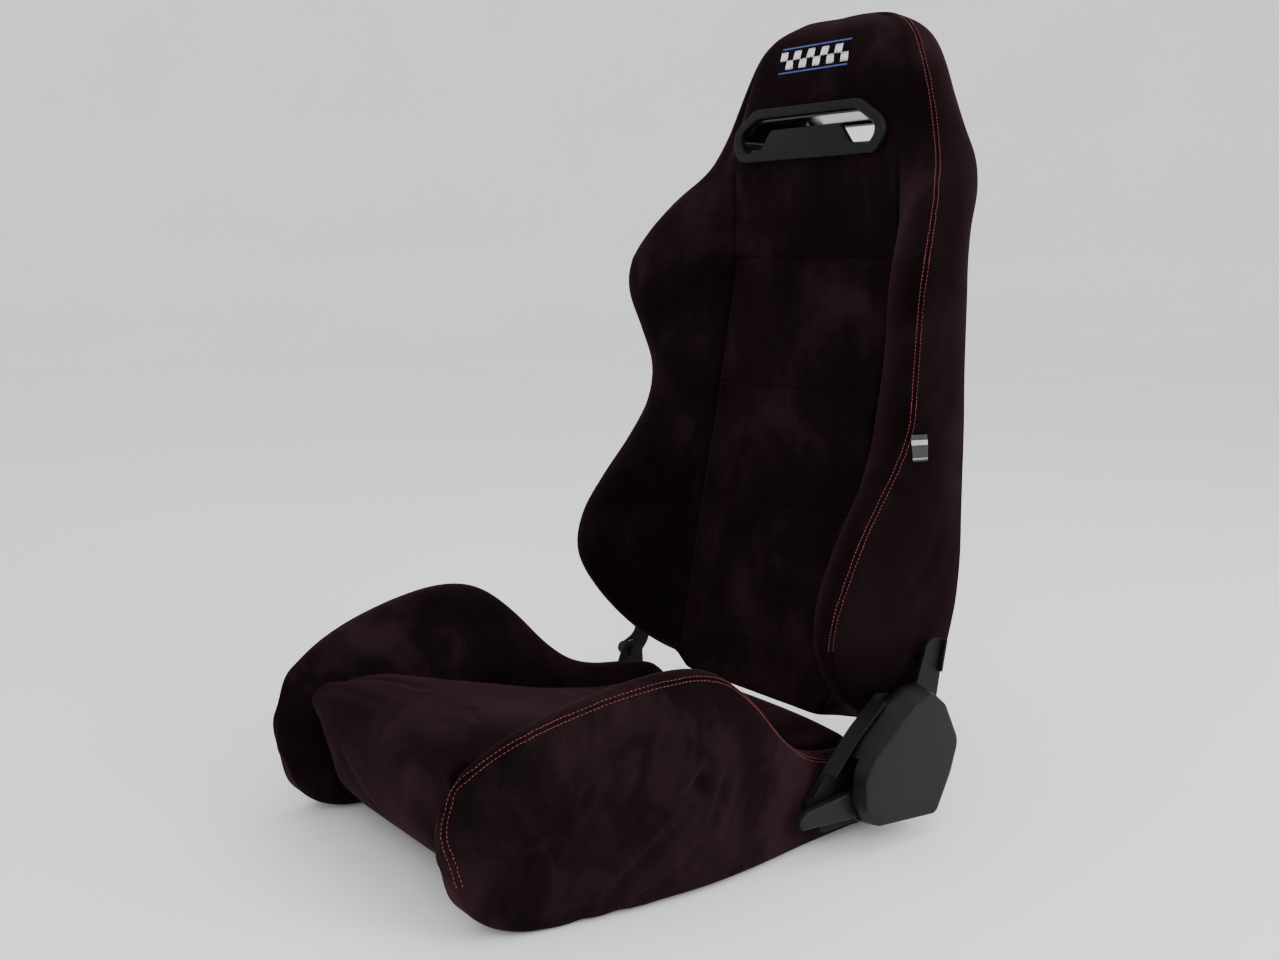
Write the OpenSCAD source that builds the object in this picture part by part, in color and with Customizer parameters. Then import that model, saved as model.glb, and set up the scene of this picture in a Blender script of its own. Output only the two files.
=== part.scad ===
// Reclining sport seat: a steel base frame and backrest frame under moulded foam and sewn suede
// covers, joined by a toothed recliner on the left side and a plain hinge on the right side.
// +X is the sitter's left, +Y is towards the back of the seat and +Z is up.
// The origin is the centre of the four mounting holes, on the underside of the base rails.

/* [Mounting] */
// Distance between the two base rails, hole to hole across the seat
mount_x = 360; // [340:1:370]
// Distance between the front and rear mounting holes
mount_y = 300; // [280:1:320]
// Bore of the M8 weld nuts, thread not cut
nut_bore = 6.8; // [6.6:0.1:7]

/* [Backrest] */
// Lean of the backrest panel from the vertical, in degrees
back_lean = 10.4; // [9:0.1:12]
// Diameter of the backrest frame's bent tube
hoop_d = 24; // [20:1:26]
// Width of the belt slot's plastic ring
slot_w = 276; // [264:1:280]
// Height of the belt slot's plastic ring
slot_h = 62; // [58:1:66]

/* [Cushions] */
// Thickness of the suede cover with its foam lining
cover_t = 2; // [1.5:0.1:2.5]
// Gap between the cover and the foam under it
cover_gap = 0.6; // [0.4:0.1:1]

/* [Recliner] */
// Height of the recline axis above the underside
pivot_z = 88; // [86:1:90]
// Distance of the recline axis behind the origin
pivot_y = 196; // [194:1:198]
// Diameter of the pivot bolt's shoulder
pivot_d = 14; // [12:1:16]
// Radial running clearance of the arm on the pivot bolt
pivot_clearance = 0.05; // [0.03:0.01:0.09]
// Teeth in a full circle of the locking sector
sector_teeth = 72; // [60:1:80]
// Thickness of the recliner's steel plates
plate_t = 4; // [3:0.5:4]

/* [Hidden] */
$fn = 48;
// Points that a soft form's outline gets per control point, and steps in a rounded corner
BACK_STEPS = 1;
BOLSTER_STEPS = 2;
CORNER_STEPS = 5;

pivot = [pivot_y, pivot_z];
foam_inset = cover_t + cover_gap;

// Backrest sections, from the bottom up. Each row is height, x and y of the bolster's stitched
// edge, y of the panel at the centre, x and y of the rear corner, and y of the rear centre.
BACK_ROWS = [
    [97, 184, 226, 186, 206, 246, 250],
    [113, 198, 196, 184, 224, 268, 274],
    [145, 207, 152, 190, 236, 286, 292],
    [200, 227, 107, 200, 244, 292, 302],
    [250, 247, 90, 209, 250, 294, 311],
    [300, 254, 103, 218, 252, 296, 320],
    [350, 250, 135, 227, 250, 298, 330],
    [400, 246, 175, 237, 248, 300, 339],
    [450, 243, 206, 246, 246, 302, 348],
    [500, 242, 213, 255, 246, 300, 357],
    [550, 253, 203, 264, 252, 292, 364],
    [600, 266, 192, 273, 260, 282, 371],
    [640, 267, 197, 281, 262, 279, 376],
    [680, 255, 218, 281, 254, 292, 381],
    [720, 234, 247, 279, 238, 320, 386],
    [760, 204, 281, 277, 210, 348, 389],
    [800, 185, 297, 276, 176, 366, 391],
    [840, 169, 305, 278, 146, 379, 391],
    [880, 151, 311, 282, 124, 384, 389],
    [908, 134, 316, 289, 110, 378, 383],
    [926, 112, 323, 301, 94, 362, 367],
    [936, 84, 332, 320, 70, 344, 346],
];
// Half-width of the flat backrest panel between the grooves
panel_x = 145;

// Base bolster sections, from the front back. Each row is y, x of the inner side, height of the
// bottom, height of the crest, and x of the outer side.
BOLSTER_ROWS = [
    [-362, 178, 72, 142, 204],
    [-352, 172, 40, 166, 214],
    [-332, 167, 18, 182, 221],
    [-300, 164, 5, 200, 230],
    [-262, 162, 2, 214, 239],
    [-220, 161, 2, 225, 247],
    [-175, 160, 2, 233, 255],
    [-130, 160, 2, 237, 261],
    [-90, 160, 2, 233, 263],
    [-58, 160, 2, 219, 262],
    [-20, 160, 2, 187, 259],
    [22, 160, 2, 142, 254],
    [60, 160, 2, 113, 249],
    [100, 160, 2, 99, 245],
    [155, 160, 4, 92, 242],
    [196, 162, 8, 84, 238],
    [207, 168, 16, 74, 230],
];
// Top line of the centre cushion, as y and height
SEAT_TOP = [
    [-362, 130], [-330, 160], [-296, 167], [-257, 166], [-185, 151], [-109, 129],
    [-28, 107], [50, 92], [120, 86], [208, 82],
];
// Side outline of the centre cushion, as y, height and corner radius
SEAT_OUTLINE = [
    [-296, 22, 6], [-332, 62, 30], [-347, 124, 30], [-334, 167, 26], [-252, 167, 90],
    [-28, 107, 120], [60, 91, 80], [207, 84, 14], [208, 20, 8],
];
// Half-width of the centre cushion, which runs on under the bolsters
seat_x = 186;

// Cavity under the base foam that takes the frame and the springs
cavity_x = 229;
cavity_y = [-264, 190];
cavity_z = 58;

// Base rails: square tube with the weld nuts let in
rail_w = 30;
rail_h = 25;
rail_wall = 2;
rail_y = [-258, 184];
rail_x = mount_x / 2;
nut_d = 16;
cross_d = 22;
cross_z = rail_h + cross_d / 2;
cross_x = 222;
front_cross_y = -236;
rear_cross_y = 142;

// Layers of the recliner, as distances from the centre plane
side_plate_x = cross_x;
bracket_x = 256;
arm_x = bracket_x + plate_t + 1.4;
lever_x = arm_x + plate_t + 2.6;
lever_t = 3;
cover_x = arm_x + plate_t + 1.2;
cover_depth = 30;
spring_x = arm_x + plate_t + 7;
spring_r = 9;
spring_pitch = 4.6;
bolt_d = 10;
stud_d = 6;
sleeve_d = 20;
bracket_bolts = [[84, 36], [176, 38]];
arm_bolts = [[226, 150], [235, 196]];
flush_d = 17;
head_seat = 1.2;
cover_studs = [[128, 48], [142, 118]];
cover_wall = 2.5;
lever_pivot = [138, 76];
grip_rivet = [99, 52];
pawl_pivot = [158, 46];
sector_r = 30;
tooth_depth = 2.4;
tooth_gap = 0.4;
pin_d = 8;

// Backrest frame
frame_setback = 46;
hoop_foot = 118;
hoop_x = 200;
shoulder_z = 650;
shoulder_x = 172;
slot_z = 799;
pocket_t = 34;

// Belt slot: faces of the two rings, and how far their sleeve steps in
ring_front = 269;
ring_flange = 8;
ring_rear = 396;
rear_flange = 24;
ring_step = 11;

// ---- numbers ----

function mix(a, b, t) = a + (b - a) * t;
function unit(v) = v / norm(v);

// Smooth value between rows, where the first column is the position along the curve
function row_at(rows, t) =
    let (last = len(rows) - 1,
         k = max([for (i = [0 : last - 1]) rows[i][0] <= t ? i : 0]),
         p0 = rows[max(k - 1, 0)], p1 = rows[k], p2 = rows[k + 1], p3 = rows[min(k + 2, last)],
         h = p2[0] - p1[0], u = (t - p1[0]) / h,
         m1 = (p2 - p0) * h / (p2[0] - p0[0]), m2 = (p3 - p1) * h / (p3[0] - p1[0]))
    p1 * (2 * u^3 - 3 * u^2 + 1) + m1 * (u^3 - 2 * u^2 + u)
        + p2 * (3 * u^2 - 2 * u^3) + m2 * (u^3 - u^2);

// Closed smooth curve through the points, with extra points between each two
function smooth_ring(p, steps) =
    let (n = len(p))
    [for (i = [0 : n - 1], k = [0 : steps - 1])
        let (u = k / steps, a = p[(i + n - 1) % n], b = p[i], c = p[(i + 1) % n], d = p[(i + 2) % n])
        0.5 * (2 * b + (c - a) * u + (2 * a - 5 * b + 4 * c - d) * u^2
            + (3 * b - a - 3 * c + d) * u^3)];

// Counterclockwise outline moved inwards by a distance
function inset_ring(p, d) =
    let (n = len(p))
    [for (i = [0 : n - 1])
        let (along = unit(p[(i + 1) % n] - p[(i + n - 1) % n]))
        p[i] + d * [-along[1], along[0]]];

function sum(v, i = 0) = i < len(v) ? v[i] + sum(v, i + 1) : 0;

// Outline moved inwards by a distance, whichever way round it runs
function moved_in(p, d) =
    let (n = len(p), turned = sum([for (i = [0 : n - 1])
        let (q = p[(i + 1) % n]) p[i][0] * q[1] - q[0] * p[i][1]]))
    inset_ring(p, turned > 0 ? d : -d);

// Arc that rounds the corner p between its neighbours a and b, with its radius in p[2]
function corner(a, p, b) =
    let (c = [p[0], p[1]], u = unit([a[0], a[1]] - c), v = unit([b[0], b[1]] - c),
         half = acos(u * v) / 2, centre = c + unit(u + v) * p[2] / sin(half),
         start = c + u * p[2] / tan(half) - centre, end = c + v * p[2] / tan(half) - centre,
         a0 = atan2(start[1], start[0]), turn = (atan2(end[1], end[0]) - a0 + 540) % 360 - 180)
    [for (i = [0 : CORNER_STEPS])
        centre + p[2] * [cos(a0 + turn * i / CORNER_STEPS), sin(a0 + turn * i / CORNER_STEPS)]];

// Outline with every corner rounded to its own radius
function rounded(p) =
    let (n = len(p))
    [for (i = [0 : n - 1]) each corner(p[(i + n - 1) % n], p[i], p[(i + 1) % n])];

// ---- solids that the parts share ----

// Solid skin over a stack of rings with equal numbers of points
module loft(rings) {
    n = len(rings[0]);
    last = len(rings) - 1;
    sides = [for (j = [0 : last - 1], i = [0 : n - 1], half = [0, 1])
        let (a = j * n + i, b = j * n + (i + 1) % n, c = b + n, d = a + n)
        half == 0 ? [a, c, b] : [a, d, c]];
    bottom = [for (i = [0 : n - 1]) i];
    top = [for (i = [n - 1 : -1 : 0]) last * n + i];
    polyhedron(points = [for (r = rings) each r], faces = concat([bottom], sides, [top]));
}

// Plate in the Y-Z plane, from x0 outwards
module plate_yz(outline, x0, t) {
    translate([x0, 0, 0]) rotate([90, 0, 90]) linear_extrude(t) polygon(outline);
}

// Round bar along X between two distances from the centre plane
module bar_x(at, d, x0, x1) {
    translate([x0, at[0], at[1]]) rotate([0, 90, 0]) cylinder(d = d, h = x1 - x0);
}

// Round bar between any two points
module bar(a, b, d) {
    v = b - a;
    turn = [0, acos(v[2] / norm(v)), atan2(v[1], v[0])];
    translate(a) rotate(turn) cylinder(d = d, h = norm(v));
}

// Bent tube through a list of points, with a slightly larger ball at each bend
module bent_bar(p, d) {
    for (i = [0 : len(p) - 2]) bar(p[i], p[i + 1], d);
    for (i = [1 : len(p) - 2]) translate(p[i]) sphere(d = d + 2);
}

// The same piece on the left (side = 1) or the right (side = -1)
module on_side(side) {
    if (side > 0) children();
    else mirror([1, 0, 0]) children();
}

module both_sides() {
    for (side = [1, -1]) on_side(side) children();
}

// One edge of a zigzag strip along +X, where side is 1 or -1 and turns is even
function zigzag_edge(length, width, turns, d, side) =
    let (pitch = length / turns, bend = pitch / 2, reach = width / 2 - bend)
    concat([[-side * d / 2, 0]],
        [for (i = [0 : turns - 1])
            let (way = i % 2 == 0 ? 1 : -1, r = bend + way * side * d / 2)
            for (a = [180 : -30 : 0]) [(i + 0.5) * pitch + r * cos(a), way * (reach + r * sin(a))]],
        [[length - side * d / 2, 0]]);

// Flat zigzag spring along +X in the X-Y plane, centred on y = 0
module zigzag(length, width, turns, d) {
    back = zigzag_edge(length, width, turns, d, -1);
    linear_extrude(d) polygon(concat(zigzag_edge(length, width, turns, d, 1),
        [for (i = [len(back) - 1 : -1 : 0]) back[i]]));
}

// A soft part is one smooth skin, with no true cylinders in it
module soft() {
    resize([0, 0, 0]) children();
}

// ---- soft forms ----

// Half outline of the backrest at one height, from the front centre round to the rear centre
function back_half(r) =
    let (ex = r[1], ey = r[2], cy = r[3], rx = r[4], ry = r[5], by = r[6],
         groove = min(panel_x, ex * 0.7), side = max(ex, rx) + 3)
    [[0, cy], [groove * 0.6, cy], [groove, cy + 2],
     [mix(groove, ex, 0.2), mix(cy, ey, 0.3)], [mix(groove, ex, 0.52), mix(cy, ey, 0.86)],
     [mix(groove, ex, 0.82), ey - 3], [ex, ey + 3], [side, mix(ey, ry, 0.4)],
     [mix(side, rx, 0.5), mix(ey, ry, 0.8)], [rx - 8, min(ry + 8, mix(ry, by, 0.5))],
     [rx * 0.7, mix(ry, by, 0.72)], [rx * 0.35, mix(ry, by, 0.96)], [0, by]];

function back_ring(z, inset) =
    let (half = back_half(row_at(BACK_ROWS, z)), n = len(half),
         ring = concat(half, [for (i = [n - 2 : -1 : 1]) [-half[i][0], half[i][1]]]),
         round = inset_ring(smooth_ring(ring, BACK_STEPS), inset))
    [for (p = round) [p[0], p[1], z]];

// The backrest's padded form, moved in by an inset
module back_form(inset) {
    last = len(BACK_ROWS) - 1;
    loft([for (i = [0 : last])
        let (ring = back_ring(BACK_ROWS[i][0], inset), slip = i == 0 ? inset : i == last ? -inset : 0)
        [for (p = ring) p + [0, 0, slip]]]);
}

function bolster_ring(r, inset) =
    let (y = r[0], ix = r[1], lo = r[2], hi = r[3], ex = r[4],
         crease = min(row_at(SEAT_TOP, y)[1] - 6, mix(lo, hi, 0.6)),
         ring = [[ix + 6, lo], [ix, mix(lo, crease, 0.5)], [ix, crease],
            [mix(ix, ex, 0.34), mix(crease, hi, 0.62)], [mix(ix, ex, 0.62), hi - 1],
            [ex - 9, hi - 6], [ex, mix(lo, hi, 0.78)], [ex + 1, mix(lo, hi, 0.45)],
            [ex - 3, mix(lo, hi, 0.14)], [ex - 16, lo]],
         level = [for (p = smooth_ring(ring, BOLSTER_STEPS)) [p[0], max(p[1], lo)]],
         round = moved_in(level, inset))
    [for (p = round) [p[0], y, p[1]]];

module bolster_form(inset) {
    last = len(BOLSTER_ROWS) - 1;
    loft([for (i = [0 : last])
        let (ring = bolster_ring(BOLSTER_ROWS[i], inset),
             slip = i == 0 ? inset : i == last ? -inset : 0)
        [for (p = ring) p + [0, slip, 0]]]);
}

// The centre cushion, with its front rolled under
module seat_form(inset) {
    plate_yz(moved_in(rounded(SEAT_OUTLINE), inset), inset - seat_x, 2 * (seat_x - inset));
}

// The whole base cushion, moved in by an inset
module base_form(inset) {
    seat_form(inset);
    both_sides() bolster_form(inset);
}

// Room under the base cushion, smaller all round by a rim
module base_cavity(rim, height) {
    translate([rim - cavity_x, cavity_y[0] + rim, -1])
        cube([2 * (cavity_x - rim), cavity_y[1] - cavity_y[0] - 2 * rim, height + 1]);
}

// Tunnels for the bolts that carry the recliners through the base cushion
module bracket_tunnels() {
    both_sides() for (b = bracket_bolts) bar_x(b, sleeve_d + 3, 200, 280);
}

// Place of the frame's tube: it follows the panel up to the shoulders and is upright above them
function frame_y(z) = BACK_ROWS[3][3] + frame_setback
    + (min(z, shoulder_z) - BACK_ROWS[3][0]) * tan(back_lean);
function frame_x(z) = mix(hoop_x, shoulder_x, (z - hoop_foot) / (shoulder_z - hoop_foot));
upper_frame_y = frame_y(shoulder_z);

// Outline of the plates that join the backrest frame to the recliner's arms, in Y and Z
function back_plate_outline() =
    let (low = 128, high = 226)
    rounded([[frame_y(low) - 20, low, 6], [frame_y(low) + 13, low, 6],
        [frame_y(high) + 13, high, 6], [frame_y(high) - 28, high, 6]]);

// Outline of the belt slot's ring, in X and Z, about the slot's centre
function slot_outline(grow) =
    let (w = slot_w / 2, h = slot_h / 2)
    moved_in(rounded([[18 - w, -h, 14], [w - 18, -h, 14], [w, 0, 22], [w - 46, h, 26], [46 - w, h, 26],
        [-w, 0, 22]]), -grow);

module slot_prism(outline, y0, y1) {
    translate([0, y1, slot_z]) rotate([90, 0, 0]) linear_extrude(y1 - y0) polygon(outline);
}

// Space inside the backrest foam for the frame, open at the bottom
module back_pocket() {
    spare = hoop_d / 2 + 4;
    foot = 60;
    low = [[frame_x(hoop_foot) + spare, foot], [frame_x(hoop_foot) + spare, 240],
        [shoulder_x + spare, shoulder_z + 12], [166, 745], [158, 848], [112, 912]];
    outline = concat(low, [for (i = [len(low) - 1 : -1 : 0]) [-low[i][0], low[i][1]]]);
    half = pocket_t / 2;
    side = [[frame_y(foot) - half, foot], [frame_y(foot) + half, foot],
        [upper_frame_y + half, shoulder_z], [upper_frame_y + half, 930],
        [upper_frame_y - half, 930], [upper_frame_y - half, shoulder_z]];
    intersection() {
        translate([0, 500, 0]) rotate([90, 0, 0]) linear_extrude(400) polygon(outline);
        plate_yz(side, -250, 500);
    }
    both_sides() plate_yz(moved_in(back_plate_outline(), -1.5), hoop_x + 8, 10);
}

module arm_tunnels() {
    both_sides() for (b = arm_bolts) bar_x(b, sleeve_d + 3, 190, 290);
}

// Room for the belt slot's rings, through the backrest
module slot_room() {
    slot_prism(slot_outline(-ring_step + 1), 200, 450);
    slot_prism(slot_outline(0.6), 200, ring_front + ring_flange + 0.6);
    slot_prism(slot_outline(0.6), ring_rear - rear_flange - 0.6, 450);
}

module base_foam() {
    color("#d8cfa8") soft() difference() {
        base_form(foam_inset);
        base_cavity(0, cavity_z);
        bracket_tunnels();
    }
}

module base_cover() {
    hem = 6;
    color("#1c1518") soft() difference() {
        base_form(0);
        base_form(cover_t);
        base_cavity(hem, 28);
        bracket_tunnels();
    }
}

module back_foam() {
    color("#d8cfa8") soft() difference() {
        back_form(foam_inset);
        back_pocket();
        slot_room();
        arm_tunnels();
    }
}

module back_cover() {
    zip_w = 340;
    color("#1c1518") soft() difference() {
        back_form(0);
        back_form(cover_t);
        translate([-zip_w / 2, 200, 90]) cube([zip_w, 40, 14]);
        slot_room();
        arm_tunnels();
    }
}

// ---- base frame ----

module base_rail(side) {
    run = rail_y[1] - rail_y[0];
    color("#26262a") translate([side * rail_x, 0, 0]) difference() {
        translate([-rail_w / 2, rail_y[0], 0]) cube([rail_w, run, rail_h]);
        translate([rail_wall - rail_w / 2, rail_y[0] - 1, rail_wall])
            cube([rail_w - 2 * rail_wall, run + 2, rail_h - 2 * rail_wall]);
        for (y = [-1, 1]) translate([0, y * mount_y / 2, -1]) cylinder(d = nut_d, h = rail_h + 2);
    }
}

module mounting_nuts() {
    color("#8d9094") both_sides() for (y = [-1, 1])
        translate([rail_x, y * mount_y / 2, 0]) difference() {
            cylinder(d = nut_d, h = rail_h);
            translate([0, 0, -1]) cylinder(d = nut_bore, h = rail_h + 2);
        }
}

module cross_tube(y) {
    color("#26262a") difference() {
        bar_x([y, cross_z], cross_d, -cross_x, cross_x);
        bar_x([y, cross_z], cross_d - 4, -cross_x - 1, cross_x + 1);
    }
}

module base_side_plate(side) {
    color("#26262a") on_side(side) difference() {
        plate_yz(rounded([[64, 14, 8], [188, 14, 8], [188, 56, 8], [64, 56, 8]]), side_plate_x, 3);
        for (b = bracket_bolts) bar_x(b, bolt_d, side_plate_x - 1, side_plate_x + 4);
    }
}

module seat_springs() {
    run = rear_cross_y - front_cross_y;
    color("#6d7074") for (x = [-120, -40, 40, 120])
        translate([x, front_cross_y, cross_z + cross_d / 2 + 2]) rotate([0, 0, 90])
        zigzag(run, 48, 12, 3.6);
}

// ---- recliner and hinge ----

// Hole through a plate for a bolt whose head lies flush with the plate's outer face
module flush_hole(at, plate_x) {
    bar_x(at, bolt_d, plate_x - 1, plate_x + plate_t + 1);
    bar_x(at, flush_d + 0.2, plate_x + head_seat, plate_x + plate_t + 1);
}

// Outlines of the recliner's bracket and of the lower bracket of the plain hinge, in Y and Z
function bracket_outline() = rounded([[66, 22, 8], [212, 24, 14], [232, 66, 20], [226, 104, 20],
    [168, 162, 12], [150, 165, 8], [108, 132, 30], [76, 99, 30], [42, 62, 7], [44, 48, 7],
    [62, 38, 8]]);
function hinge_outline() = rounded([[62, 23, 10], [206, 23, 14], [214, 70, 20], [212, 103, 14],
    [182, 102, 12], [166, 62, 20], [64, 50, 12]]);

// Strip along the bracket's front and upper edge between two of its points
function edge_strip(a, b, t) =
    let (along = unit(b - a), across = t * [along[1], -along[0]])
    [a, b, b + across, a + across];

// Folded lip along the bracket's front and upper edge
module bracket_lip(x0) {
    low = 6;
    tall = 17;
    plate_yz(edge_strip([49, 70], [70, 93], 3), x0, low);
    plate_yz(edge_strip([69, 92], [107, 131], 3), x0, tall);
    plate_yz(edge_strip([106, 130], [145, 161], 3), x0, tall);
}

module side_bracket(side, has_lock) {
    pin_holes = has_lock ? [lever_pivot, pawl_pivot] : [];
    color("#141416") on_side(side) difference() {
        union() {
            plate_yz(has_lock ? bracket_outline() : hinge_outline(), bracket_x, plate_t);
            if (has_lock) bracket_lip(bracket_x + plate_t - 1);
        }
        bar_x(pivot, pivot_d, bracket_x - 1, bracket_x + plate_t + 1);
        for (b = pin_holes) bar_x(b, pin_d, bracket_x - 1, bracket_x + plate_t + 1);
        for (b = bracket_bolts) flush_hole(b, bracket_x);
    }
}

module bracket_sleeves() {
    color("#26262a") both_sides() for (b = bracket_bolts) difference() {
        bar_x(b, sleeve_d, side_plate_x + 3, bracket_x);
        bar_x(b, bolt_d, side_plate_x + 2, bracket_x + 1);
    }
}

module head_bolt(at, d, x0, x1, head_d, head_t) {
    bar_x(at, d, x0, x1);
    bar_x(at, head_d, x1, x1 + head_t);
}

module bracket_bolts_set() {
    color("#1c1c1e") both_sides() for (b = bracket_bolts)
        head_bolt(b, bolt_d, side_plate_x - 4, bracket_x + head_seat, flush_d, plate_t - head_seat);
}

module pivot_bolt(side) {
    color("#8d9094") on_side(side) {
        head_bolt(pivot, pivot_d, bracket_x - 3, arm_x + plate_t + 0.6, 26, 5);
        bar_x(pivot, 2 * spring_r - 0.4, arm_x + plate_t + 5, spring_x + 9);
    }
}

module pivot_washers() {
    color("#e6e4dc") both_sides() difference() {
        bar_x(pivot, 30, bracket_x + plate_t + 0.1, arm_x - 0.1);
        bar_x(pivot, pivot_d + 0.4, bracket_x + plate_t - 1, arm_x + 1);
    }
}

// Round outline with locking teeth over part of it
function sector_outline() =
    let (step = 360 / sector_teeth)
    [for (i = [0 : sector_teeth - 1], k = [0 : 3])
        let (a = (i + k / 4) * step, toothed = a > 125 && a < 290,
             r = toothed && (k == 1 || k == 2) ? sector_r : sector_r - tooth_depth)
        pivot + r * [cos(a), sin(a)]];

function arm_outline() = rounded([[172, 104, 10], [170, 76, 14], [192, 60, 16], [220, 76, 18],
    [242, 146, 30], [254, 214, 9], [225, 217, 12], [204, 158, 40]]);
function hinge_arm_outline() = rounded([[181, 100, 11], [183, 74, 12], [208, 74, 14],
    [226, 96, 20], [244, 146, 30], [254, 214, 9], [225, 217, 12], [210, 158, 40], [206, 112, 20]]);

module back_arm(side, has_lock) {
    spring_hook = pivot + [27.6, 0];
    color("#141416") on_side(side) difference() {
        union() {
            plate_yz(has_lock ? arm_outline() : hinge_arm_outline(), arm_x, plate_t);
            if (has_lock) plate_yz(sector_outline(), arm_x, plate_t);
            if (has_lock) bar_x(spring_hook, 5, arm_x + plate_t - 1, spring_x + 9);
            plate_yz(edge_strip([251, 212], [244, 176], 3), arm_x + plate_t - 1, 7);
        }
        bar_x(pivot, pivot_d + 2 * pivot_clearance, arm_x - 1, arm_x + plate_t + 8);
        for (b = arm_bolts) flush_hole(b, arm_x);
    }
}

module arm_sleeves() {
    color("#26262a") both_sides() for (b = arm_bolts) difference() {
        bar_x(b, sleeve_d, hoop_x + hoop_d / 2 + 3, arm_x);
        bar_x(b, bolt_d, hoop_x + hoop_d / 2 + 2, arm_x + 1);
    }
}

module arm_bolts_set() {
    color("#1c1c1e") both_sides() for (b = arm_bolts)
        head_bolt(b, bolt_d, hoop_x + hoop_d / 2 - 2, arm_x + head_seat, flush_d, plate_t - head_seat);
}

// Locking pawl, stopped a hair short of the sector's teeth
module pawl() {
    low = sector_r + tooth_gap;
    teeth = [for (a = [186 : 1.25 : 216]) let (deep = floor(a / 1.25) % 4 < 2)
        pivot + (low + (deep ? 0 : tooth_depth)) * [cos(a), sin(a)]];
    tail = [[164, 62], [164, 50], [152, 50], [154, 66], [156, 84]];
    color("#55585c") difference() {
        union() {
            plate_yz(concat(teeth, tail), arm_x, plate_t);
            bar_x(pawl_pivot, 16, arm_x, arm_x + plate_t);
        }
        bar_x(pawl_pivot, pin_d + 0.1, arm_x - 1, arm_x + plate_t + 1);
    }
}

module pawl_pin() {
    color("#8d9094") head_bolt(pawl_pivot, pin_d, bracket_x, arm_x + plate_t + 0.3, 12, 1.5);
}

module lever_pin() {
    color("#8d9094") head_bolt(lever_pivot, pin_d, bracket_x, lever_x + lever_t + 0.3, 13, 2);
}

function lever_outline() = rounded([[150, 66, 9], [150, 86, 9], [126, 88, 8], [106, 66, 20],
    [34, 57, 3], [33, 50, 3], [104, 45, 20], [130, 62, 20]]);

module lever_plate() {
    color("#1a1a1c") difference() {
        plate_yz(lever_outline(), lever_x, lever_t);
        bar_x(lever_pivot, pin_d + 0.1, lever_x - 1, lever_x + lever_t + 1);
        bar_x(grip_rivet, 5, lever_x - 1, lever_x + lever_t + 1);
    }
}

// Flat moulded grip over the front of the lever
module lever_grip() {
    outline = rounded([[116, 38, 3], [117, 60, 4], [104, 67, 10], [30, 59, 5], [20, 52, 3],
        [24, 44, 4]]);
    color("#1a1a1c") difference() {
        plate_yz(outline, lever_x - 1, lever_t + 7);
        plate_yz(moved_in(lever_outline(), -0.1), lever_x - 0.1, lever_t + 0.2);
        bar_x(grip_rivet, 5, lever_x - 3, lever_x + 20);
    }
}

module grip_rivet() {
    color("#8d9094") head_bolt(grip_rivet, 5, lever_x - 1, lever_x + lever_t + 6, 9, 1.2);
}

module lever_spring() {
    color("#8d9094") difference() {
        bar_x(lever_pivot, 15, bracket_x + plate_t + 0.4, lever_x - 0.4);
        bar_x(lever_pivot, 11, bracket_x + plate_t, lever_x);
    }
}

// Flat coil spring that brings the backrest forward when the lock is lifted
module recline_spring() {
    turns = 3;
    strip = 2;
    function winding(r0, angles) = [for (a = angles)
        pivot + (r0 + spring_pitch * a / 360) * [cos(a), sin(a)]];
    color("#55585c") plate_yz(concat(winding(spring_r, [0 : 15 : 360 * turns]),
        winding(spring_r + strip, [360 * turns : -15 : 0])), spring_x, 9);
}

// Outline of the plastic cover where it meets the bracket, in Y and Z, and of its flat face
function cover_outline() = rounded([[112, 27, 18], [214, 19, 12], [238, 62, 60], [250, 101, 26],
    [225, 151, 22], [202, 171, 18], [176, 169, 30], [148, 154, 30], [112, 124, 30], [92, 98, 16],
    [90, 60, 24]]);
function cover_face() = rounded([[114, 30, 16], [212, 22, 10], [234, 64, 60], [246, 101, 24],
    [222, 148, 20], [200, 166, 16], [172, 156, 40], [108, 106, 20], [96, 84, 16], [98, 52, 20]]);

module cover_shape(wall) {
    hull() {
        plate_yz(moved_in(cover_outline(), wall), cover_x, 8);
        plate_yz(moved_in(cover_face(), wall), cover_x + cover_depth - wall - 1, 1);
    }
}

module recliner_cover() {
    notch = [[80, 33], [120, 33], [120, 106], [80, 106]];
    notch_depth = 14;
    color("#161618") difference() {
        cover_shape(0);
        cover_shape(cover_wall);
        plate_yz(moved_in(cover_outline(), cover_wall), cover_x - 1, 2);
        plate_yz(notch, cover_x - 1, notch_depth + 1);
    }
}

// Studs that stand on the bracket and hold the plastic cover from inside
module cover_studs_set() {
    color("#8d9094") for (b = cover_studs)
        bar_x(b, stud_d, bracket_x + plate_t, cover_x + cover_depth - cover_wall);
}

// ---- backrest frame ----

function hoop_points() =
    let (side = [[hoop_x, frame_y(hoop_foot), hoop_foot],
        [shoulder_x, upper_frame_y, shoulder_z], [149, upper_frame_y, 760],
        [142, upper_frame_y, 838], [96, upper_frame_y, 891]])
    concat(side, [for (i = [len(side) - 1 : -1 : 0]) [-side[i][0], side[i][1], side[i][2]]]);

module back_hoop() {
    color("#26262a") bent_bar(hoop_points(), hoop_d);
}

module back_bar(z) {
    weld_gap = 0.25;
    end = frame_x(z) - hoop_d / 2 - weld_gap;
    color("#26262a") bar_x([frame_y(z), z], 16, -end, end);
}

module back_side_plates() {
    color("#26262a") both_sides() difference() {
        plate_yz(back_plate_outline(), hoop_x + hoop_d / 2, 3);
        for (b = arm_bolts) bar_x(b, bolt_d, hoop_x, hoop_x + 30);
    }
}

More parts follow.
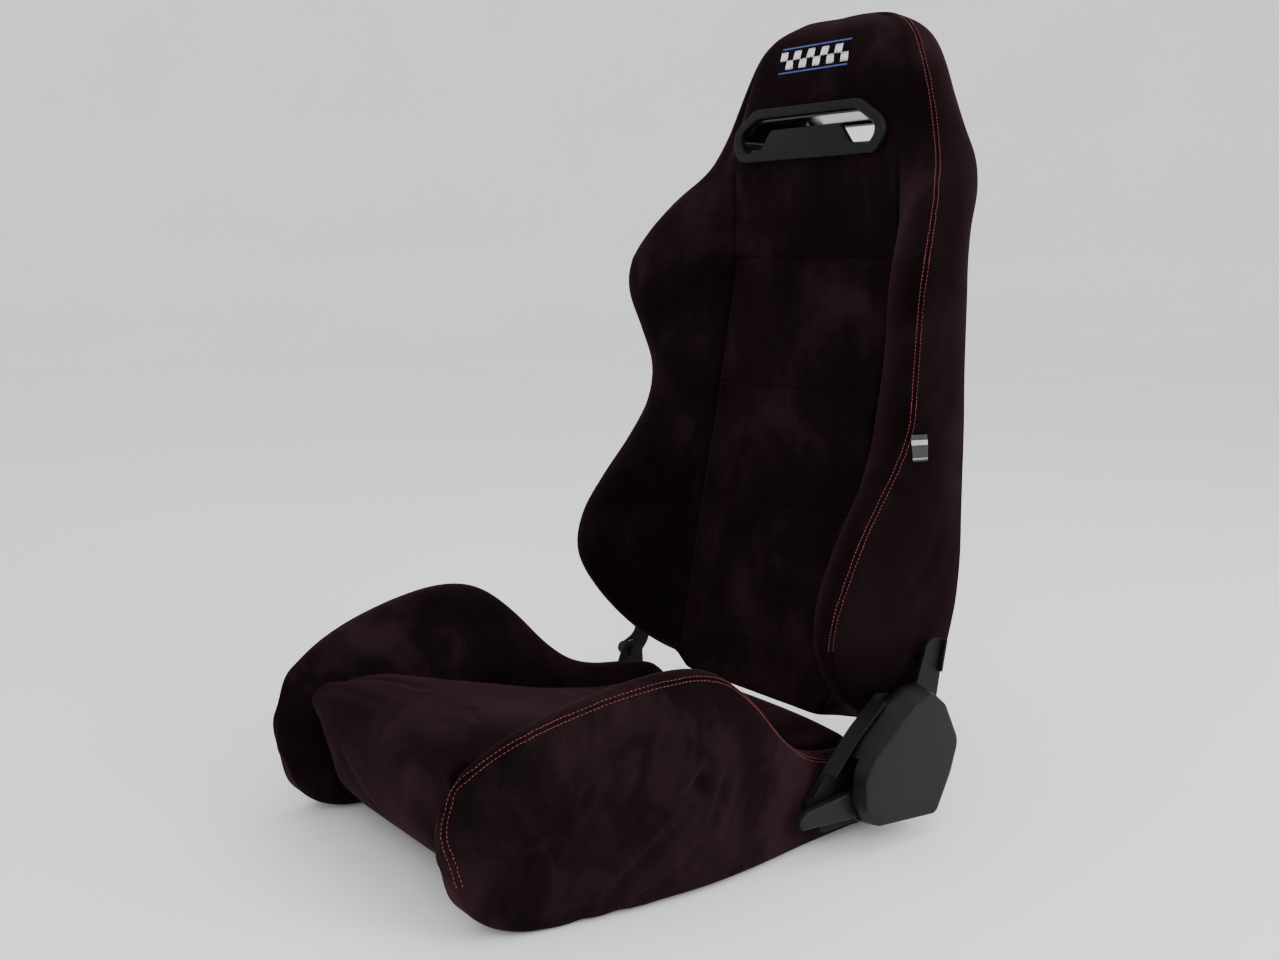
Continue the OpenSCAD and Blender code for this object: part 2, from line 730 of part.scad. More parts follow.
module back_springs() {
    color("#6d7074") for (z = [250, 345, 440, 535])
        let (run = 2 * frame_x(z) - hoop_d - 4)
        translate([-run / 2, frame_y(z), z]) rotate([90 - back_lean, 0, 0]) zigzag(run, 46, 12, 3.6);
}

// ---- belt slot and tag ----

// Outline of the hole through the front ring, with a raised lip along the middle of its foot
function slot_opening() =
    let (w = slot_w / 2 - 9, h = slot_h / 2 - 8)
    rounded([[20 - w, -h, 8], [-78, 4 - h, 8], [-60, 4, 7], [60, 4, 7], [78, 4 - h, 8],
        [w - 20, -h, 8], [w, 0, 16], [w - 42, h, 20], [42 - w, h, 20], [-w, 0, 16]]);

module slot_front_ring() {
    meet = 330;
    color("#1b1b1e") difference() {
        union() {
            slot_prism(slot_outline(0), ring_front, ring_front + ring_flange);
            slot_prism(slot_outline(-ring_step), ring_front + 1, meet);
        }
        slot_prism(slot_opening(), ring_front - 1, meet + 1);
        slot_prism(slot_outline(-ring_step - 2.5), ring_front + 5, meet + 1);
    }
}

module slot_rear_ring() {
    meet = 330.4;
    color("#1b1b1e") difference() {
        union() {
            slot_prism(slot_outline(0), ring_rear - rear_flange, ring_rear);
            slot_prism(slot_outline(-ring_step), meet, ring_rear - 1);
        }
        slot_prism(slot_outline(-ring_step - 2.5), meet - 1, ring_rear + 1);
    }
}

module side_tag() {
    color("#101012") translate([249, 213, 434]) rotate([0, 0, 84]) cube([22, 0.8, 30], center = true);
}

base_rail(1);  // base_rail_left
base_rail(-1);  // base_rail_right
cross_tube(front_cross_y);  // front_cross_tube
cross_tube(rear_cross_y);  // rear_cross_tube
mounting_nuts();
base_side_plate(1);  // base_side_plate_left
base_side_plate(-1);  // base_side_plate_right
seat_springs();
base_foam();
base_cover();
side_bracket(1, true);  // recliner_bracket_left
side_bracket(-1, false);  // hinge_bracket_right
bracket_sleeves();
bracket_bolts_set();  // bracket_bolts
pivot_bolt(1);  // pivot_bolt_left
pivot_bolt(-1);  // pivot_bolt_right
pivot_washers();
pawl_pin();
lever_pin();
recliner_cover();  // recliner_cover_left
cover_studs_set();  // cover_studs
lever_plate();
lever_grip();
grip_rivet();
lever_spring();
pawl();
back_hoop();
back_bar(190);  // lower_back_bar
back_bar(610);  // upper_back_bar
back_side_plates();
back_springs();
back_foam();
back_cover();
back_arm(1, true);  // recliner_arm_left
back_arm(-1, false);  // hinge_arm_right
arm_sleeves();
arm_bolts_set();  // arm_bolts
recline_spring();
slot_front_ring();
slot_rear_ring();
side_tag();
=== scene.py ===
"""Looks of a reclining sport seat: sewn suede over moulded foam, a steel recliner and a belt slot.

Lengths are in millimetres in the tables and in metres everywhere else. +X is the sitter's left,
+Y is towards the back of the seat and +Z is up.
"""

import math

import bmesh
import bpy
import numpy as np
from mathutils import Matrix, Vector
from mathutils.bvhtree import BVHTree
from mathutils.kdtree import KDTree


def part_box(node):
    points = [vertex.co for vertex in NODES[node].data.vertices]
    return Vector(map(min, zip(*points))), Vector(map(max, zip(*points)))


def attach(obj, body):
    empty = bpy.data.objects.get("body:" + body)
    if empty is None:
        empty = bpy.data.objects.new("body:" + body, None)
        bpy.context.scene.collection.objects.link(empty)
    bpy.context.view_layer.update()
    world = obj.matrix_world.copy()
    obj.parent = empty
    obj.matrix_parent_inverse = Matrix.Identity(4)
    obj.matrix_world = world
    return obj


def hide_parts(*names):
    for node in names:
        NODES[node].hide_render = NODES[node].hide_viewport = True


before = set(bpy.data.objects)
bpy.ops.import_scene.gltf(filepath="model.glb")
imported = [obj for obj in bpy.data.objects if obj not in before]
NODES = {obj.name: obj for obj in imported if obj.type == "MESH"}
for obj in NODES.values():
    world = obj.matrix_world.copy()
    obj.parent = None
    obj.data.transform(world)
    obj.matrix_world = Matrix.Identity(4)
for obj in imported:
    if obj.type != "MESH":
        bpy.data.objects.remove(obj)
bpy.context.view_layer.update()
MM = 0.001

# ---- the sewn forms, as the foam is moulded ----

# Backrest sections from the bottom up: height, x and y of the stitched edge, y of the panel,
# x and y of the rear corner, and y of the rear centre
BACK_ROWS = [
    [97, 184, 226, 186, 206, 246, 250],
    [113, 198, 196, 184, 224, 268, 274],
    [145, 207, 152, 190, 236, 286, 292],
    [200, 227, 107, 200, 244, 292, 302],
    [250, 247, 90, 209, 250, 294, 311],
    [300, 254, 103, 218, 252, 296, 320],
    [350, 250, 135, 227, 250, 298, 330],
    [400, 246, 175, 237, 248, 300, 339],
    [450, 243, 206, 246, 246, 302, 348],
    [500, 242, 213, 255, 246, 300, 357],
    [550, 253, 203, 264, 252, 292, 364],
    [600, 266, 192, 273, 260, 282, 371],
    [640, 267, 197, 281, 262, 279, 376],
    [680, 255, 218, 281, 254, 292, 381],
    [720, 234, 247, 279, 238, 320, 386],
    [760, 204, 281, 277, 210, 348, 389],
    [800, 185, 297, 276, 176, 366, 391],
    [840, 169, 305, 278, 146, 379, 391],
    [880, 151, 311, 282, 124, 384, 389],
    [908, 134, 316, 289, 110, 378, 383],
    [926, 112, 323, 301, 94, 362, 367],
    [936, 84, 332, 320, 70, 344, 346],
]
PANEL_X = 145
# Heights of the seams sewn across the panel
CROSS_SEAMS = (334, 480, 644)

# Base bolster sections from the front back: y, x of the inner side, height of the bottom,
# height of the crest, and x of the outer side
BOLSTER_ROWS = [
    [-362, 178, 72, 142, 204],
    [-352, 172, 40, 166, 214],
    [-332, 167, 18, 182, 221],
    [-300, 164, 5, 200, 230],
    [-262, 162, 2, 214, 239],
    [-220, 161, 2, 225, 247],
    [-175, 160, 2, 233, 255],
    [-130, 160, 2, 237, 261],
    [-90, 160, 2, 233, 263],
    [-58, 160, 2, 219, 262],
    [-20, 160, 2, 187, 259],
    [22, 160, 2, 142, 254],
    [60, 160, 2, 113, 249],
    [100, 160, 2, 99, 245],
    [155, 160, 4, 92, 242],
    [196, 162, 8, 84, 238],
    [207, 168, 16, 74, 230],
]
# Top line of the centre cushion, and its side outline with corner radii, as y and height
SEAT_TOP = [
    [-362, 130], [-330, 160], [-296, 167], [-257, 166], [-185, 151], [-109, 129],
    [-28, 107], [50, 92], [120, 86], [208, 82],
]
SEAT_OUTLINE = [
    [-296, 22, 6], [-332, 62, 30], [-347, 124, 30], [-334, 167, 26], [-252, 167, 90],
    [-28, 107, 120], [60, 91, 80], [207, 84, 14], [208, 20, 8], [190, 20, 3],
    [190, 58, 3], [-264, 58, 3], [-264, 22, 3],
]
# The frame's room under the base cushion
ROOM_X, ROOM_FRONT, ROOM_TOP = 229, -264, 58

# How much smaller than the sewn size the cloth starts, and how far it may swell
BACK_INSET, BOLSTER_INSET, SWELL = 2.5, 2.2, 6
# Bolts in y and z whose wrenches reach in through the foam, and the width of their tunnels
ARM_BOLTS = ((226, 150), (235, 196))
BRACKET_BOLTS = ((84, 36), (176, 38))
TUNNEL_D = 23
# The red rows: pitch, length and thickness of a stitch, and each row's distance from the seam
RED_PITCH, RED_LENGTH, RED_THICK, ROW_OFFSET = 4.6, 3.0, 0.85, 3.0
# Angle past which an edge is shaded hard
HARD_EDGE = math.radians(40)

# Distances from a seam at which the skin gets a line of points
NEAR = (0, 1.2, 3, 6)


# ---- numbers ----

def mix(a, b, t):
    return a + (b - a) * t


def ease(t):
    """Smooth step from 0 to 1."""
    t = np.clip(t, 0, 1)
    return t * t * (3 - 2 * t)


def cubic(a, b, out_of_a, into_b, u):
    """Curve from a to b at u from 0 to 1, with its slope at each end."""
    return (a * (2 * u**3 - 3 * u**2 + 1) + out_of_a * (u**3 - 2 * u**2 + u)
            + b * (3 * u**2 - 2 * u**3) + into_b * (u**3 - u**2))


def row_at(rows, t):
    """Smooth value between rows, where the first column is the position along the curve."""
    rows = np.asarray(rows, float)
    k = int(np.clip(np.searchsorted(rows[:, 0], t, side="right") - 1, 0, len(rows) - 2))
    p0, p1, p2, p3 = rows[max(k - 1, 0)], rows[k], rows[k + 1], rows[min(k + 2, len(rows) - 1)]
    h = p2[0] - p1[0]
    return cubic(p1, p2, (p2 - p0) * h / (p2[0] - p0[0]), (p3 - p1) * h / (p3[0] - p1[0]),
                 (t - p1[0]) / h)


def curve_through(points, closed, per=14):
    """Dense smooth curve through the points. Point i of them is point i * per of the result."""
    p = np.asarray(points, float)
    n = len(p)
    if closed:
        p = np.vstack([p[-1], p, p[0], p[1]])
    else:
        p = np.vstack([2 * p[0] - p[1], p, 2 * p[-1] - p[-2]])
    gap = np.maximum(np.linalg.norm(np.diff(p, axis=0), axis=1), 1e-9) ** 0.5
    slope = np.diff(p, axis=0) / gap[:, None]
    way = slope[:-1] * gap[1:, None] + slope[1:] * gap[:-1, None]
    way /= (gap[:-1] + gap[1:])[:, None]
    out = []
    for i in range(n if closed else n - 1):
        u = np.arange(per)[:, None] / per
        h = gap[i + 1]
        out.append(cubic(p[i + 1], p[i + 2], way[i] * h, way[i + 1] * h, u))
    if not closed:
        out.append(p[n][None])
    return np.vstack(out)


def lengths(line):
    return np.concatenate([[0], np.cumsum(np.linalg.norm(np.diff(line, axis=0), axis=1))])


def at_lengths(line, wanted):
    s = lengths(line)
    return np.stack([np.interp(wanted, s, line[:, k]) for k in range(line.shape[1])], -1)


def spread(total, count, seam_first=True, seam_last=True):
    """Distances along a run: a few close to each sewn end and even ones between."""
    first = list(NEAR) if seam_first else [0.0]
    last = [total - d for d in reversed(NEAR)] if seam_last else [total]
    between = np.linspace(first[-1], last[0], count + 2)[1:-1]
    return np.array(first + list(between) + last)


def corner(a, p, b, steps):
    """Arc that rounds the corner p between its neighbours, with its radius in p[2]."""
    c = np.array(p[:2], float)
    u = np.array(a[:2]) - c
    v = np.array(b[:2]) - c
    u, v = u / np.linalg.norm(u), v / np.linalg.norm(v)
    half = math.acos(float(np.clip(u @ v, -1, 1))) / 2
    centre = c + (u + v) / np.linalg.norm(u + v) * p[2] / math.sin(half)
    start, end = c + u * p[2] / math.tan(half) - centre, c + v * p[2] / math.tan(half) - centre
    a0 = math.atan2(start[1], start[0])
    turn = (math.atan2(end[1], end[0]) - a0 + 3 * math.pi) % (2 * math.pi) - math.pi
    return [centre + p[2] * np.array([math.cos(a0 + turn * i / steps),
                                      math.sin(a0 + turn * i / steps)]) for i in range(steps + 1)]


def rounded(p, steps=10):
    n = len(p)
    return np.array([q for i in range(n) for q in corner(p[i - 1], p[i], p[(i + 1) % n], steps)])


def moved_in(p, d):
    """Outline moved inwards by a distance, whichever way round it runs."""
    p = np.asarray(p, float)
    after, before = np.roll(p, -1, 0), np.roll(p, 1, 0)
    area = np.sum(p[:, 0] * after[:, 1] - after[:, 0] * p[:, 1])
    along = after - before
    along /= np.linalg.norm(along, axis=1)[:, None]
    return p + d * math.copysign(1, area) * np.stack([-along[:, 1], along[:, 0]], -1)


# ---- meshes ----

def to_object(name, data):
    piece = bpy.data.objects.new(name, data)
    bpy.context.scene.collection.objects.link(piece)
    return piece


def weld(mesh, gap):
    """Merges points closer than the gap in metres, and turns the faces outwards."""
    shape = bmesh.new()
    shape.from_mesh(mesh)
    bmesh.ops.remove_doubles(shape, verts=shape.verts, dist=gap)
    bmesh.ops.recalc_face_normals(shape, faces=shape.faces)
    shape.to_mesh(mesh)
    shape.free()


def mesh_from(name, points, faces):
    """New piece from points in metres. Its faces are turned outwards."""
    mesh = bpy.data.meshes.new(name)
    mesh.from_pydata([tuple(p) for p in points], [], faces)
    weld(mesh, 1e-6)
    mesh.shade_smooth()
    return to_object(name, mesh)


def cap(ids, turn):
    """Faces that close a ring of points in strips."""
    r = list(ids[turn:]) + list(ids[:turn])
    n = len(r)
    return [(r[i], r[i + 1], r[n - 2 - i], r[n - 1 - i]) for i in range(n // 2 - 1)]


def sides(n, count, start=0, loop=False):
    """Faces between a stack of rings of n points, whose first point is number start."""
    faces = []
    for j in range(count if loop else count - 1):
        a, b = start + j * n, start + (j + 1) % count * n
        for i in range(n):
            m = (i + 1) % n
            faces.append((a + i, a + m, b + m, b + i))
    return faces


def skin(name, rings, turn=0, ends=True):
    """Skin over a stack of rings. ends=False joins the last ring to the first."""
    n, count = len(rings[0]), len(rings)
    faces = sides(n, count, loop=not ends)
    if ends:
        faces += cap(list(range(n)), turn)
        faces += cap(list(range((count - 1) * n, count * n)), turn)
    return mesh_from(name, np.vstack(rings), faces)


def evaluated_mesh(piece):
    bpy.context.view_layer.update()
    return bpy.data.meshes.new_from_object(
        piece.evaluated_get(bpy.context.evaluated_depsgraph_get()))


def plain(piece):
    """The piece with its modifiers made into one plain mesh."""
    made = evaluated_mesh(piece)
    piece.modifiers.clear()
    piece.data = made
    return piece


def finer(piece, levels=1):
    change = piece.modifiers.new("finer", "SUBSURF")
    change.levels = change.render_levels = levels
    return plain(piece)


def cut(piece, tool):
    change = piece.modifiers.new("cut", "BOOLEAN")
    change.operation = "DIFFERENCE"
    change.object = tool
    change.solver = "EXACT"
    plain(piece)
    bpy.data.objects.remove(tool)
    piece.data.shade_smooth()
    return piece


def points_of(piece):
    co = np.empty(len(piece.data.vertices) * 3)
    piece.data.vertices.foreach_get("co", co)
    return co.reshape(-1, 3)


def put_points(piece, co):
    piece.data.vertices.foreach_set("co", np.asarray(co, float).ravel())
    piece.data.update()


def normals_of(piece):
    no = np.empty(len(piece.data.vertices) * 3)
    piece.data.vertices.foreach_get("normal", no)
    return no.reshape(-1, 3)


def away_from(co, line):
    """Distance of every point from a line of points, in millimetres."""
    line = np.asarray(line, float)
    run = lengths(line)[-1]
    line = at_lengths(line, np.linspace(0, run, max(int(run / 0.0012), 2)))
    tree = KDTree(len(line))
    for i, p in enumerate(line):
        tree.insert(p, i)
    tree.balance()
    low, high = line.min(0) - 0.03, line.max(0) + 0.03
    near = np.all((co > low) & (co < high), axis=1)
    far = np.full(len(co), 999.0)
    for i in np.nonzero(near)[0]:
        far[i] = tree.find(co[i])[2] / MM
    return far


def press(piece, line, depth, width, lip=0.0):
    """Draws the cover in along a sewn line or a crease, with a low swelling beside it."""
    co, no = points_of(piece), normals_of(piece)
    d = away_from(co, line)
    move = -depth * np.exp(-(d / width) ** 2) + lip * np.exp(-((d - 2.2 * width) / width) ** 2)
    put_points(piece, co + no * move[:, None] * MM)


def swell(piece, held, limit, pressure=4.0, frames=20):
    """Blows the closed cover up as cloth held at its sewn points, each move under a limit."""
    start, no = points_of(piece), normals_of(piece)
    group = piece.vertex_groups.new(name="sewn")
    for i in np.nonzero(held > 0.97)[0]:
        group.add([int(i)], 1.0, "REPLACE")
    change = piece.modifiers.new("cloth", "CLOTH")
    cloth = change.settings
    cloth.vertex_group_mass = "sewn"
    cloth.use_pressure = True
    cloth.uniform_pressure_force = pressure
    cloth.effector_weights.gravity = 0
    cloth.mass = 0.35
    cloth.bending_stiffness = 2.0
    change.collision_settings.use_collision = False
    scene = bpy.context.scene
    change.point_cache.frame_start = 1
    change.point_cache.frame_end = frames
    for f in range(1, frames + 1):
        scene.frame_set(f)
    plain(piece)
    piece.vertex_groups.clear()
    scene.frame_set(1)
    move = points_of(piece) - start
    far = np.linalg.norm(move, axis=1) / MM
    reach = limit * np.tanh(far / limit) / np.maximum(far, 1e-6)
    put_points(piece, start + move * (reach * (1 - held))[:, None])
    return piece


def relax(piece, rounds, share=0.5, free=None):
    """Evens out the small steps in a skin."""
    mesh = piece.data
    edges = np.empty(len(mesh.edges) * 2, int)
    mesh.edges.foreach_get("vertices", edges)
    a, b = edges[0::2], edges[1::2]
    co = points_of(piece)
    count = np.bincount(edges, minlength=len(co))[:, None]
    free = 1.0 if free is None else free[:, None]
    for _ in range(rounds):
        total = np.zeros_like(co)
        np.add.at(total, a, co[b])
        np.add.at(total, b, co[a])
        co = co + (total / count - co) * share * free
    put_points(piece, co)


# ---- node trees ----

def add(tree, kind, links=None, **settings):
    """Adds one node. Settings are its properties; links gives each input a value or a socket."""
    node = tree.nodes.new(kind)
    for name, value in settings.items():
        setattr(node, name, value)
    for key, value in (links or {}).items():
        if isinstance(value, bpy.types.NodeSocket):
            tree.links.new(value, node.inputs[key])
        else:
            node.inputs[key].default_value = value
    return node


def colour(hex_value):
    """Linear colour from an sRGB hex value."""
    parts = [int(hex_value[i:i + 2], 16) / 255 for i in (1, 3, 5)]
    return [c / 12.92 if c <= 0.04045 else ((c + 0.055) / 1.055) ** 2.4 for c in parts] + [1.0]


def new_material(name, **shader_values):
    """An empty material with its shader, and the piece's own coordinates in metres."""
    material = bpy.data.materials.new(name)
    material.use_nodes = True
    tree = material.node_tree
    tree.nodes.clear()
    shader = add(tree, "ShaderNodeBsdfPrincipled",
                 {k.replace("_", " "): v for k, v in shader_values.items()})
    add(tree, "ShaderNodeOutputMaterial", {"Surface": shader.outputs[0]})
    place = add(tree, "ShaderNodeTexCoord").outputs["Object"]
    return material, tree, shader, place


def noise(tree, place, size_mm, detail=2.0, rough=0.5, warp=0.0):
    """Cloudy pattern whose patches are about that many millimetres across."""
    return add(tree, "ShaderNodeTexNoise",
               {"Vector": place, "Scale": 1000 / size_mm, "Detail": detail, "Roughness": rough,
                "Distortion": warp}).outputs["Fac"]


def ramp(tree, value, stops):
    """Colours or greys along a value: stops are (place, hex)."""
    node = add(tree, "ShaderNodeValToRGB", {"Fac": value})
    line = node.color_ramp.elements
    while len(line) < len(stops):
        line.new(0.5)
    for point, (where, shade) in zip(line, stops):
        point.position = where
        point.color = colour(shade)
    return node.outputs["Color"]


def between(tree, value, low, high, from_low=0.0, from_high=1.0):
    """A value moved from one span to another, and kept inside it."""
    return add(tree, "ShaderNodeMapRange",
               {"Value": value, "From Min": from_low, "From Max": from_high,
                "To Min": low, "To Max": high}).outputs["Result"]


def relief(tree, shader, heights):
    """Surface relief from (height pattern, strength, depth in mm), one on top of another."""
    normal = None
    for height, strength, depth in heights:
        links = {"Height": height, "Strength": strength, "Distance": depth * MM}
        if normal is not None:
            links["Normal"] = normal
        normal = add(tree, "ShaderNodeBump", links).outputs["Normal"]
    tree.links.new(normal, shader.inputs["Normal"])


def set_colour(tree, shader, value):
    tree.links.new(value, shader.inputs["Base Color"])


def suede(name, dark, middle, pale):
    """Microfibre suede, brushed after dyeing: a near-black cloth with a fine random speckle, with
    painted sheen in pale and dark patches and strokes where the nap lies one way or the other, and
    a soft bloom where it is seen edge on."""
    material, tree, shader, place = new_material(
        name, Roughness=0.94, Sheen_Weight=0.13, Sheen_Roughness=0.5,
        Sheen_Tint=colour("#8a5563"), Specular_IOR_Level=0.02)
    tall = add(tree, "ShaderNodeMapping", {"Vector": place, "Scale": (1.0, 0.7, 0.45),
                                           "Rotation": (0.3, 0.5, 0.0)}).outputs["Vector"]
    nap_sheen_blotches = noise(tree, place, 150, 3.0, 0.5, 0.6)
    strokes = noise(tree, tall, 34, 4.0, 0.6, 1.6)
    fuzz = noise(tree, place, 2.2, 2.0, 0.7)
    both = add(tree, "ShaderNodeMath", {0: nap_sheen_blotches, 1: between(tree, strokes, -0.2, 0.2)},
               operation="ADD").outputs[0]
    sheen_and_speckle = add(tree, "ShaderNodeMath", {0: both, 1: between(tree, fuzz, -0.09, 0.09)},
                   operation="ADD").outputs[0]
    # Base colour: painted sheen in pale and dark patches and strokes where the nap lies one way or
    # the other, over a fine random speckle
    set_colour(tree, shader, ramp(tree, sheen_and_speckle, [(0.33, dark), (0.52, middle), (0.72, pale)]))
    tree.links.new(between(tree, strokes, 0.82, 1.0), shader.inputs["Roughness"])
    # The nap's fibres are 0.1 mm apart, drawn 1.1 mm apart so that they show
    relief(tree, shader, [(noise(tree, place, 45, 2.0, 0.5, 0.6), 0.35, 2.2),
                          (noise(tree, place, 1.1, 3.0, 0.8), 0.4, 0.35)])
    return material


def surface(name, cloud, stops, bump, rough=None, **shader_values):
    """Material with a cloudy colour, a fine relief and, if given, patches of roughness.
    Each starts with a noise: its size in mm, detail, roughness and distortion."""
    material, tree, shader, place = new_material(name, **shader_values)
    set_colour(tree, shader, ramp(tree, noise(tree, place, *cloud), stops))
    if rough:
        patches, low, high = rough
        tree.links.new(between(tree, noise(tree, place, *patches), low, high),
                       shader.inputs["Roughness"])
    grain, strength, depth = bump
    relief(tree, shader, [(noise(tree, place, *grain), strength, depth)])
    return material


def satin_plastic(name, base, pale, rough_low, rough_high, grain=0.9, shine=0.15):
    """ABS moulded in a spark-eroded tool: dark satin skin with a fine even grain. The tool's grain
    is 0.2 mm, drawn coarser so that it shows."""
    return surface(name, (70, 3.0, 0.55, 0.4), [(0.3, base), (0.72, pale)],
                   ((grain, 2.0, 0.6), 0.22, 0.12), ((22, 4.0), rough_low, rough_high),
                   Roughness=0.4, IOR=1.5, Specular_IOR_Level=shine)


def thread(name, dark, pale, gloss=0.55):
    """Bonded polyester sewing thread: three plies twisted, with a soft shine along each stitch.
    Its colour has painted shade in the grooves between the plies and a painted highlight on their
    crowns, over random patches of tone.
    """
    material, tree, shader, place = new_material(name, Roughness=gloss, Sheen_Weight=0.2,
                                                 Sheen_Roughness=0.4)
    twist = add(tree, "ShaderNodeTexWave",
                {"Vector": place, "Scale": 1000 / 1.3 / 6.283, "Distortion": 0.6},
                wave_type="BANDS", bands_direction="DIAGONAL").outputs["Fac"]
    patch = noise(tree, place, 7, 2.0)
    mixed = add(tree, "ShaderNodeMath", {0: between(tree, twist, 0.0, 0.5),
                                         1: between(tree, patch, 0.0, 0.5)},
                operation="ADD").outputs[0]
    # Colour bands along the twist: painted shade in the ply grooves and painted highlight on the
    # ply crowns, mixed with random tone
    set_colour(tree, shader, ramp(tree, mixed, [(0.25, dark), (0.7, pale)]))
    relief(tree, shader, [(twist, 0.5, 0.15)])
    return material


def woven_label():
    """Damask-woven polyester label: black with one pale band, fine ribs across."""
    material, tree, shader, place = new_material("woven_label", Roughness=0.7, Sheen_Weight=0.25,
                                                 Sheen_Roughness=0.4)
    height = add(tree, "ShaderNodeSeparateXYZ", {0: place}).outputs["Z"]
    ribs = add(tree, "ShaderNodeTexWave", {"Vector": place, "Scale": 1000 / 1.0 / 6.283},
               wave_type="BANDS", bands_direction="Z").outputs["Fac"]
    band = ramp(tree, between(tree, height, 0.0, 1.0, 0.418, 0.452),
                [(0.09, "#111113"), (0.1, "#86868a"), (0.14, "#86868a"), (0.15, "#111113"),
                 (0.56, "#111113"), (0.58, "#a2a2a7"), (0.72, "#a2a2a7"), (0.74, "#111113")])
    shade = add(tree, "ShaderNodeMix", {0: between(tree, ribs, 0.0, 0.35), 6: band,
                                        7: colour("#1d1d20")}, data_type="RGBA").outputs[2]
    set_colour(tree, shader, shade)
    relief(tree, shader, [(ribs, 0.6, 0.12)])
    return material


# Microfibre suede, brushed after dyeing, with painted nap sheen in its colour
SUEDE = suede("microfibre_suede", "#080405", "#0f090a", "#201417")
# Mild steel, pressed and powder-coated black: even satin black with fine orange peel
STEEL = surface("powder_coated_steel", (60, 3.0), [(0.3, "#0a0a0b"), (0.7, "#101011")],
                ((1.6, 2.0), 0.3, 0.1), ((9, 3.0), 0.48, 0.62),
                Roughness=0.55, IOR=1.5, Specular_IOR_Level=0.14)
# Moulded plastics: the cover, the slot's flanges, its tunnel and the lever's grip
PLASTIC = satin_plastic("satin_moulded_abs", "#0d0c0d", "#131213", 0.36, 0.48)
MATT_PLASTIC = satin_plastic("matt_moulded_abs", "#0a0a0b", "#0f0f10", 0.46, 0.58)
GLOSS = satin_plastic("polished_moulded_abs", "#0b0b0c", "#101011", 0.08, 0.16, 2.5, 0.5)
LEVER_PLASTIC = satin_plastic("glass_filled_nylon", "#111011", "#181719", 0.38, 0.5)
# Steel fasteners, electroplated and passivated: bright grey with a faint warm bloom
ZINC = surface("zinc_plated_steel", (11, 3.0),
               [(0.3, "#a9a79d"), (0.55, "#b9bac0"), (0.75, "#c4bb9c")],
               ((0.9, 2.0), 0.2, 0.05), ((4, 3.0), 0.24, 0.46), Metallic=1.0, Roughness=0.32)
# Oil-tempered wire and strip: dark blue-grey metal with faint drawing lines
SPRING = surface("tempered_spring_steel", (14, 3.0), [(0.3, "#3c3e43"), (0.7, "#5d6067")],
                 ((1.4, 4.0), 0.25, 0.06), Metallic=1.0, Roughness=0.4)
# Cast nylon washers: waxy off-white that lets a little light in
NYLON = surface("cast_nylon", (8, 2.0), [(0.3, "#d9d6c8"), (0.7, "#ece9de")],
                ((1.2, 2.0), 0.15, 0.05), Roughness=0.45, IOR=1.53, Subsurface_Weight=0.1)
# Moulded polyurethane foam: matt cream skin with open cells
FOAM = surface("moulded_foam", (50, 4.0), [(0.3, "#c9bd92"), (0.7, "#dcd3ae")],
               ((1.5, 2.0), 0.6, 0.4), Roughness=0.95, Specular_IOR_Level=0.2)
# Sewing and embroidery threads
RED_THREAD = thread("red_sewing_thread", "#4a0b11", "#86151f")
WHITE_THREAD = thread("white_embroidery_thread", "#b9bac2", "#e9e9ee", 0.4)
BLUE_THREAD = thread("blue_embroidery_thread", "#16285f", "#2a46a0", 0.4)
LABEL = woven_label()


def finish_piece(piece, material, body, replaces=()):
    """Gives a piece its material, hides the CAD parts it replaces and hangs it on the body it rides
    on.
    """
    piece.data.materials.clear()
    piece.data.materials.append(material)
    for node in replaces:
        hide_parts(node)
    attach(piece, body)
    return piece


# ---- backrest ----

def back_half(row):
    """Half outline of the backrest at one height, front centre to rear centre, with its seams."""
    z, ex, ey, cy, rx, ry, by = row
    g = min(PANEL_X, ex * 0.7)
    side = max(ex, rx) + 3
    dip = 3 * ease((700 - z) / 120) * ease((z - 97) / 60)
    line = curve_through([
        [-g * 0.6, cy + dip * 0.3], [0, cy], [g * 0.6, cy + dip * 0.3], [g, cy + 2 + dip],
        [mix(g, ex, 0.2), mix(cy, ey, 0.3)], [mix(g, ex, 0.52), mix(cy, ey, 0.86)],
        [mix(g, ex, 0.82), ey - 3], [ex, ey + 3], [side, mix(ey, ry, 0.4)],
        [mix(side, rx, 0.5), mix(ey, ry, 0.8)], [rx - 8, min(ry + 8, mix(ry, by, 0.5))],
        [rx * 0.7, mix(ry, by, 0.72)], [rx * 0.35, mix(ry, by, 0.96)], [0, by],
        [-rx * 0.35, mix(ry, by, 0.96)]], closed=False)
    return [line[14:43], line[42:99], line[98:141], line[140:183]]


def back_ring(z, row):
    """Points round the backrest at a height, and the places of its sewn lines among them."""
    panel, bolster, side, rear = back_half(row)
    runs = [(panel, 14, False, True), (bolster, 13, True, True), (side, 18, True, True),
            (rear, 18, True, False)]
    half, marks = [], []
    for line, count, first, last in runs:
        total = lengths(line)[-1]
        points = at_lengths(line, spread(total, count, first, last))
        marks.append(sum(len(p) for p in half))
        half.append(points[:-1])
    half = np.vstack(half + [rear[-1:]])
    left = half[1:-1] * [-1, 1]
    ring = np.vstack([half, left[::-1]])
    return np.column_stack([ring, np.full(len(ring), z)]), marks[1:]


def back_heights():
    z = list(np.arange(97, 936.1, 839 / 112))
    z = [h for h in z if min(abs(h - s) for s in CROSS_SEAMS) > 8]
    z += [s + way * d for s in CROSS_SEAMS for d in NEAR for way in ((1,) if d == 0 else (1, -1))]
    return sorted(z)


